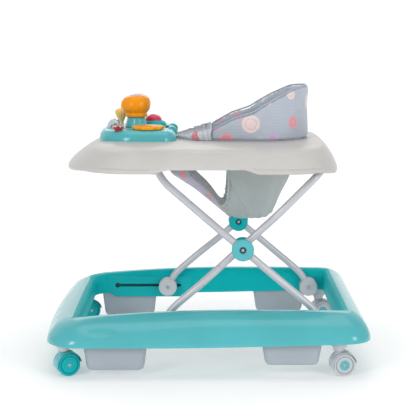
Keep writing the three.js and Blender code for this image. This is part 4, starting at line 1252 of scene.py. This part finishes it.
def sling():
    heights = [SLING_TOP - SLING_DROP * (i / SLING_ROWS) for i in range(SLING_ROWS + 1)]
    rings = []
    for z in heights:
        front, rear, half = sling_level(z)
        radius = min(half - 6, (rear - front) / 2 - 1)
        loop = plan_loop(front, rear, half, radius, radius, corner=18, straight=14)
        centre = Vector(((front + rear) / 2, 0))
        ring = []
        for p in loop:
            away = p - centre
            inward = folds(math.atan2(away.y, away.x), z)
            ring.append(Vector((*(p + away.normalized() * inward), z)))
        rings.append(ring)
    lowest = rings[-1]
    for share, drop in ((0.72, 2.4), (0.42, 3.6), (0.12, 4.0)):
        centre = sum(lowest, Vector()) / len(lowest)
        rings.append([centre.lerp(p, share) - Vector((0, 0, drop - 4.2)) for p in lowest])
    cup = skin("hanging_seat", rings, capped=False, sharp=70)
    hole_cut(cup)
    thickened(cup, 1.2)
    dress(cup, SLING_LOOK, "sling_fabric", "play_tray", "seat_sling")
    leg_hems()


def hole_cut(cup):
    """Takes away the cloth inside the leg openings."""
    outline = rounded(LEG_OPENING + LEG_OPENING[:2], 16, 5)
    mesh = bmesh.new()
    mesh.from_mesh(cup.data)
    for face in list(mesh.faces):
        middle = face.calc_center_median() / MM
        if contains(outline, middle.x, middle.z):
            mesh.faces.remove(face)
    mesh.to_mesh(cup.data)
    mesh.free()


def contains(outline, x, z):
    """Whether a point lies inside a closed outline."""
    hit = False
    for (x0, z0), (x1, z1) in zip(outline, outline[1:] + outline[:1]):
        if (z0 > z) != (z1 > z) and x < (x1 - x0) * (z - z0) / (z1 - z0) + x0:
            hit = not hit
    return hit


def leg_hems():
    """Gathered elastic hems round both leg openings."""
    outline = rounded(LEG_OPENING + LEG_OPENING[:2], 16, 8)[1:-1]
    for side, sign in SIDES.items():
        path = []
        for number, (x, z) in enumerate(outline):
            ripple = 0.9 * math.sin(number * 1.9)
            along = max(x, sling_level(z)[0] + 3)
            path.append(Vector((along, sign * (sling_half(along, z) - 0.5 + ripple), z)))
        dress(swept(f"leg_hem_{side}", path, 2.6, 10, closed=True), SLING_LOOK, "sling_fabric", "play_tray")


def ruffle():
    """The gathered edge of the seat on the tray, in front of the wings."""
    wing = box("backrest_pad")[0].x
    deck = box("tray")[1].z
    loop = plan_loop(RUFFLE_FRONT, 222, 101, 98, 98, corner=60, straight=30)
    front = sorted((p for p in loop if p.x <= wing + 4), key=lambda p: math.atan2(p.y, -(p.x - wing - 20)))
    rows = []
    for share in (0, 0.2, 0.4, 0.6, 0.8, 1.0):
        row = []
        for number, p in enumerate(front):
            towards_wing = (p.x - RUFFLE_FRONT) / (wing - RUFFLE_FRONT)
            tall = 3 + 21 * max(towards_wing, 0)
            wave = (1.2 + 2.4 * share) * math.sin(number * 1.45 + 1.3 * math.sin(number * 0.41))
            out = (p - RUFFLE_MIDDLE).normalized()
            lean = 4 * share - 1.2 + 3 * math.sin(math.pi * share)
            spot = p + out * (wave + lean)
            z = deck + 1.4 + tall * share + 0.8 * share * math.sin(number * 0.8)
            row.append(Vector((spot.x, spot.y, z)))
        rows.append(row)
    band = skin("gathered_edge", rows, closed_ring=False, capped=False, sharp=70)
    thickened(band, 1.0)
    # The gathered edge wears the paler copy of the seat cloth: painted light.
    dress(band, RIM_LIT_LOOK, "seat_fabric", "play_tray")


# --------------------------------------------------- small parts from CAD

KEPT = {
    "tray_rail_left": TRAY_LOOK, "tray_rail_right": TRAY_LOOK, "tray_bracket_left": TRAY_LOOK,
    "tray_bracket_right": TRAY_LOOK, "latch_rack": TRAY_LOOK, "latch_carriage": GREY_LOOK,
    "latch_catch": RED_LOOK, "latch_spring": ZINC_LOOK, "seat_hoop": GREY_LOOK, "button_spring": ZINC_LOOK,
}


def kept_nodes():
    for name, look in KEPT.items():
        node = frame["nodes"][name]
        if not node.material_slots:
            node.data.materials.append(look)
        for place in node.material_slots:
            place.material = look
        if not name.endswith("spring"):
            bevel(node, 0.5, 2)


def stage():
    """A pale floor that curves up into a plain backdrop."""
    profile = [(FLOOR_START, 0), (FLOOR_END, 0)]
    profile += [(FLOOR_END + BEND_RADIUS * math.sin(a), BEND_RADIUS - BEND_RADIUS * math.cos(a))
                for a in (math.pi / 2 * i / 12 for i in range(1, 13))]
    profile.append((FLOOR_END + BEND_RADIUS, WALL_TOP))
    rings = [[Vector((x, y, z)) for y, z in profile] for x in (-HALF_WIDE, HALF_WIDE)]
    floor = skin("studio_floor", rings, closed_ring=False, capped=False, sharp=60)
    shader = Shader("studio_white", {
        "Roughness": 0.9, "Emission Color": (1, 1, 1, 1), "Emission Strength": 0.2,
    })
    shader.colour(shader.ramp(shader.noise(2), (0.93, 0.93, 0.93, 1), (0.95, 0.95, 0.95, 1)))
    floor.data.materials.append(shader.material)


camera()
lights()
stage()
base()
stoppers()
casters()
tubes()
feet_and_hubs()
tray()
toy_base()
toys()
backrest()
sling()
ruffle()
kept_nodes()
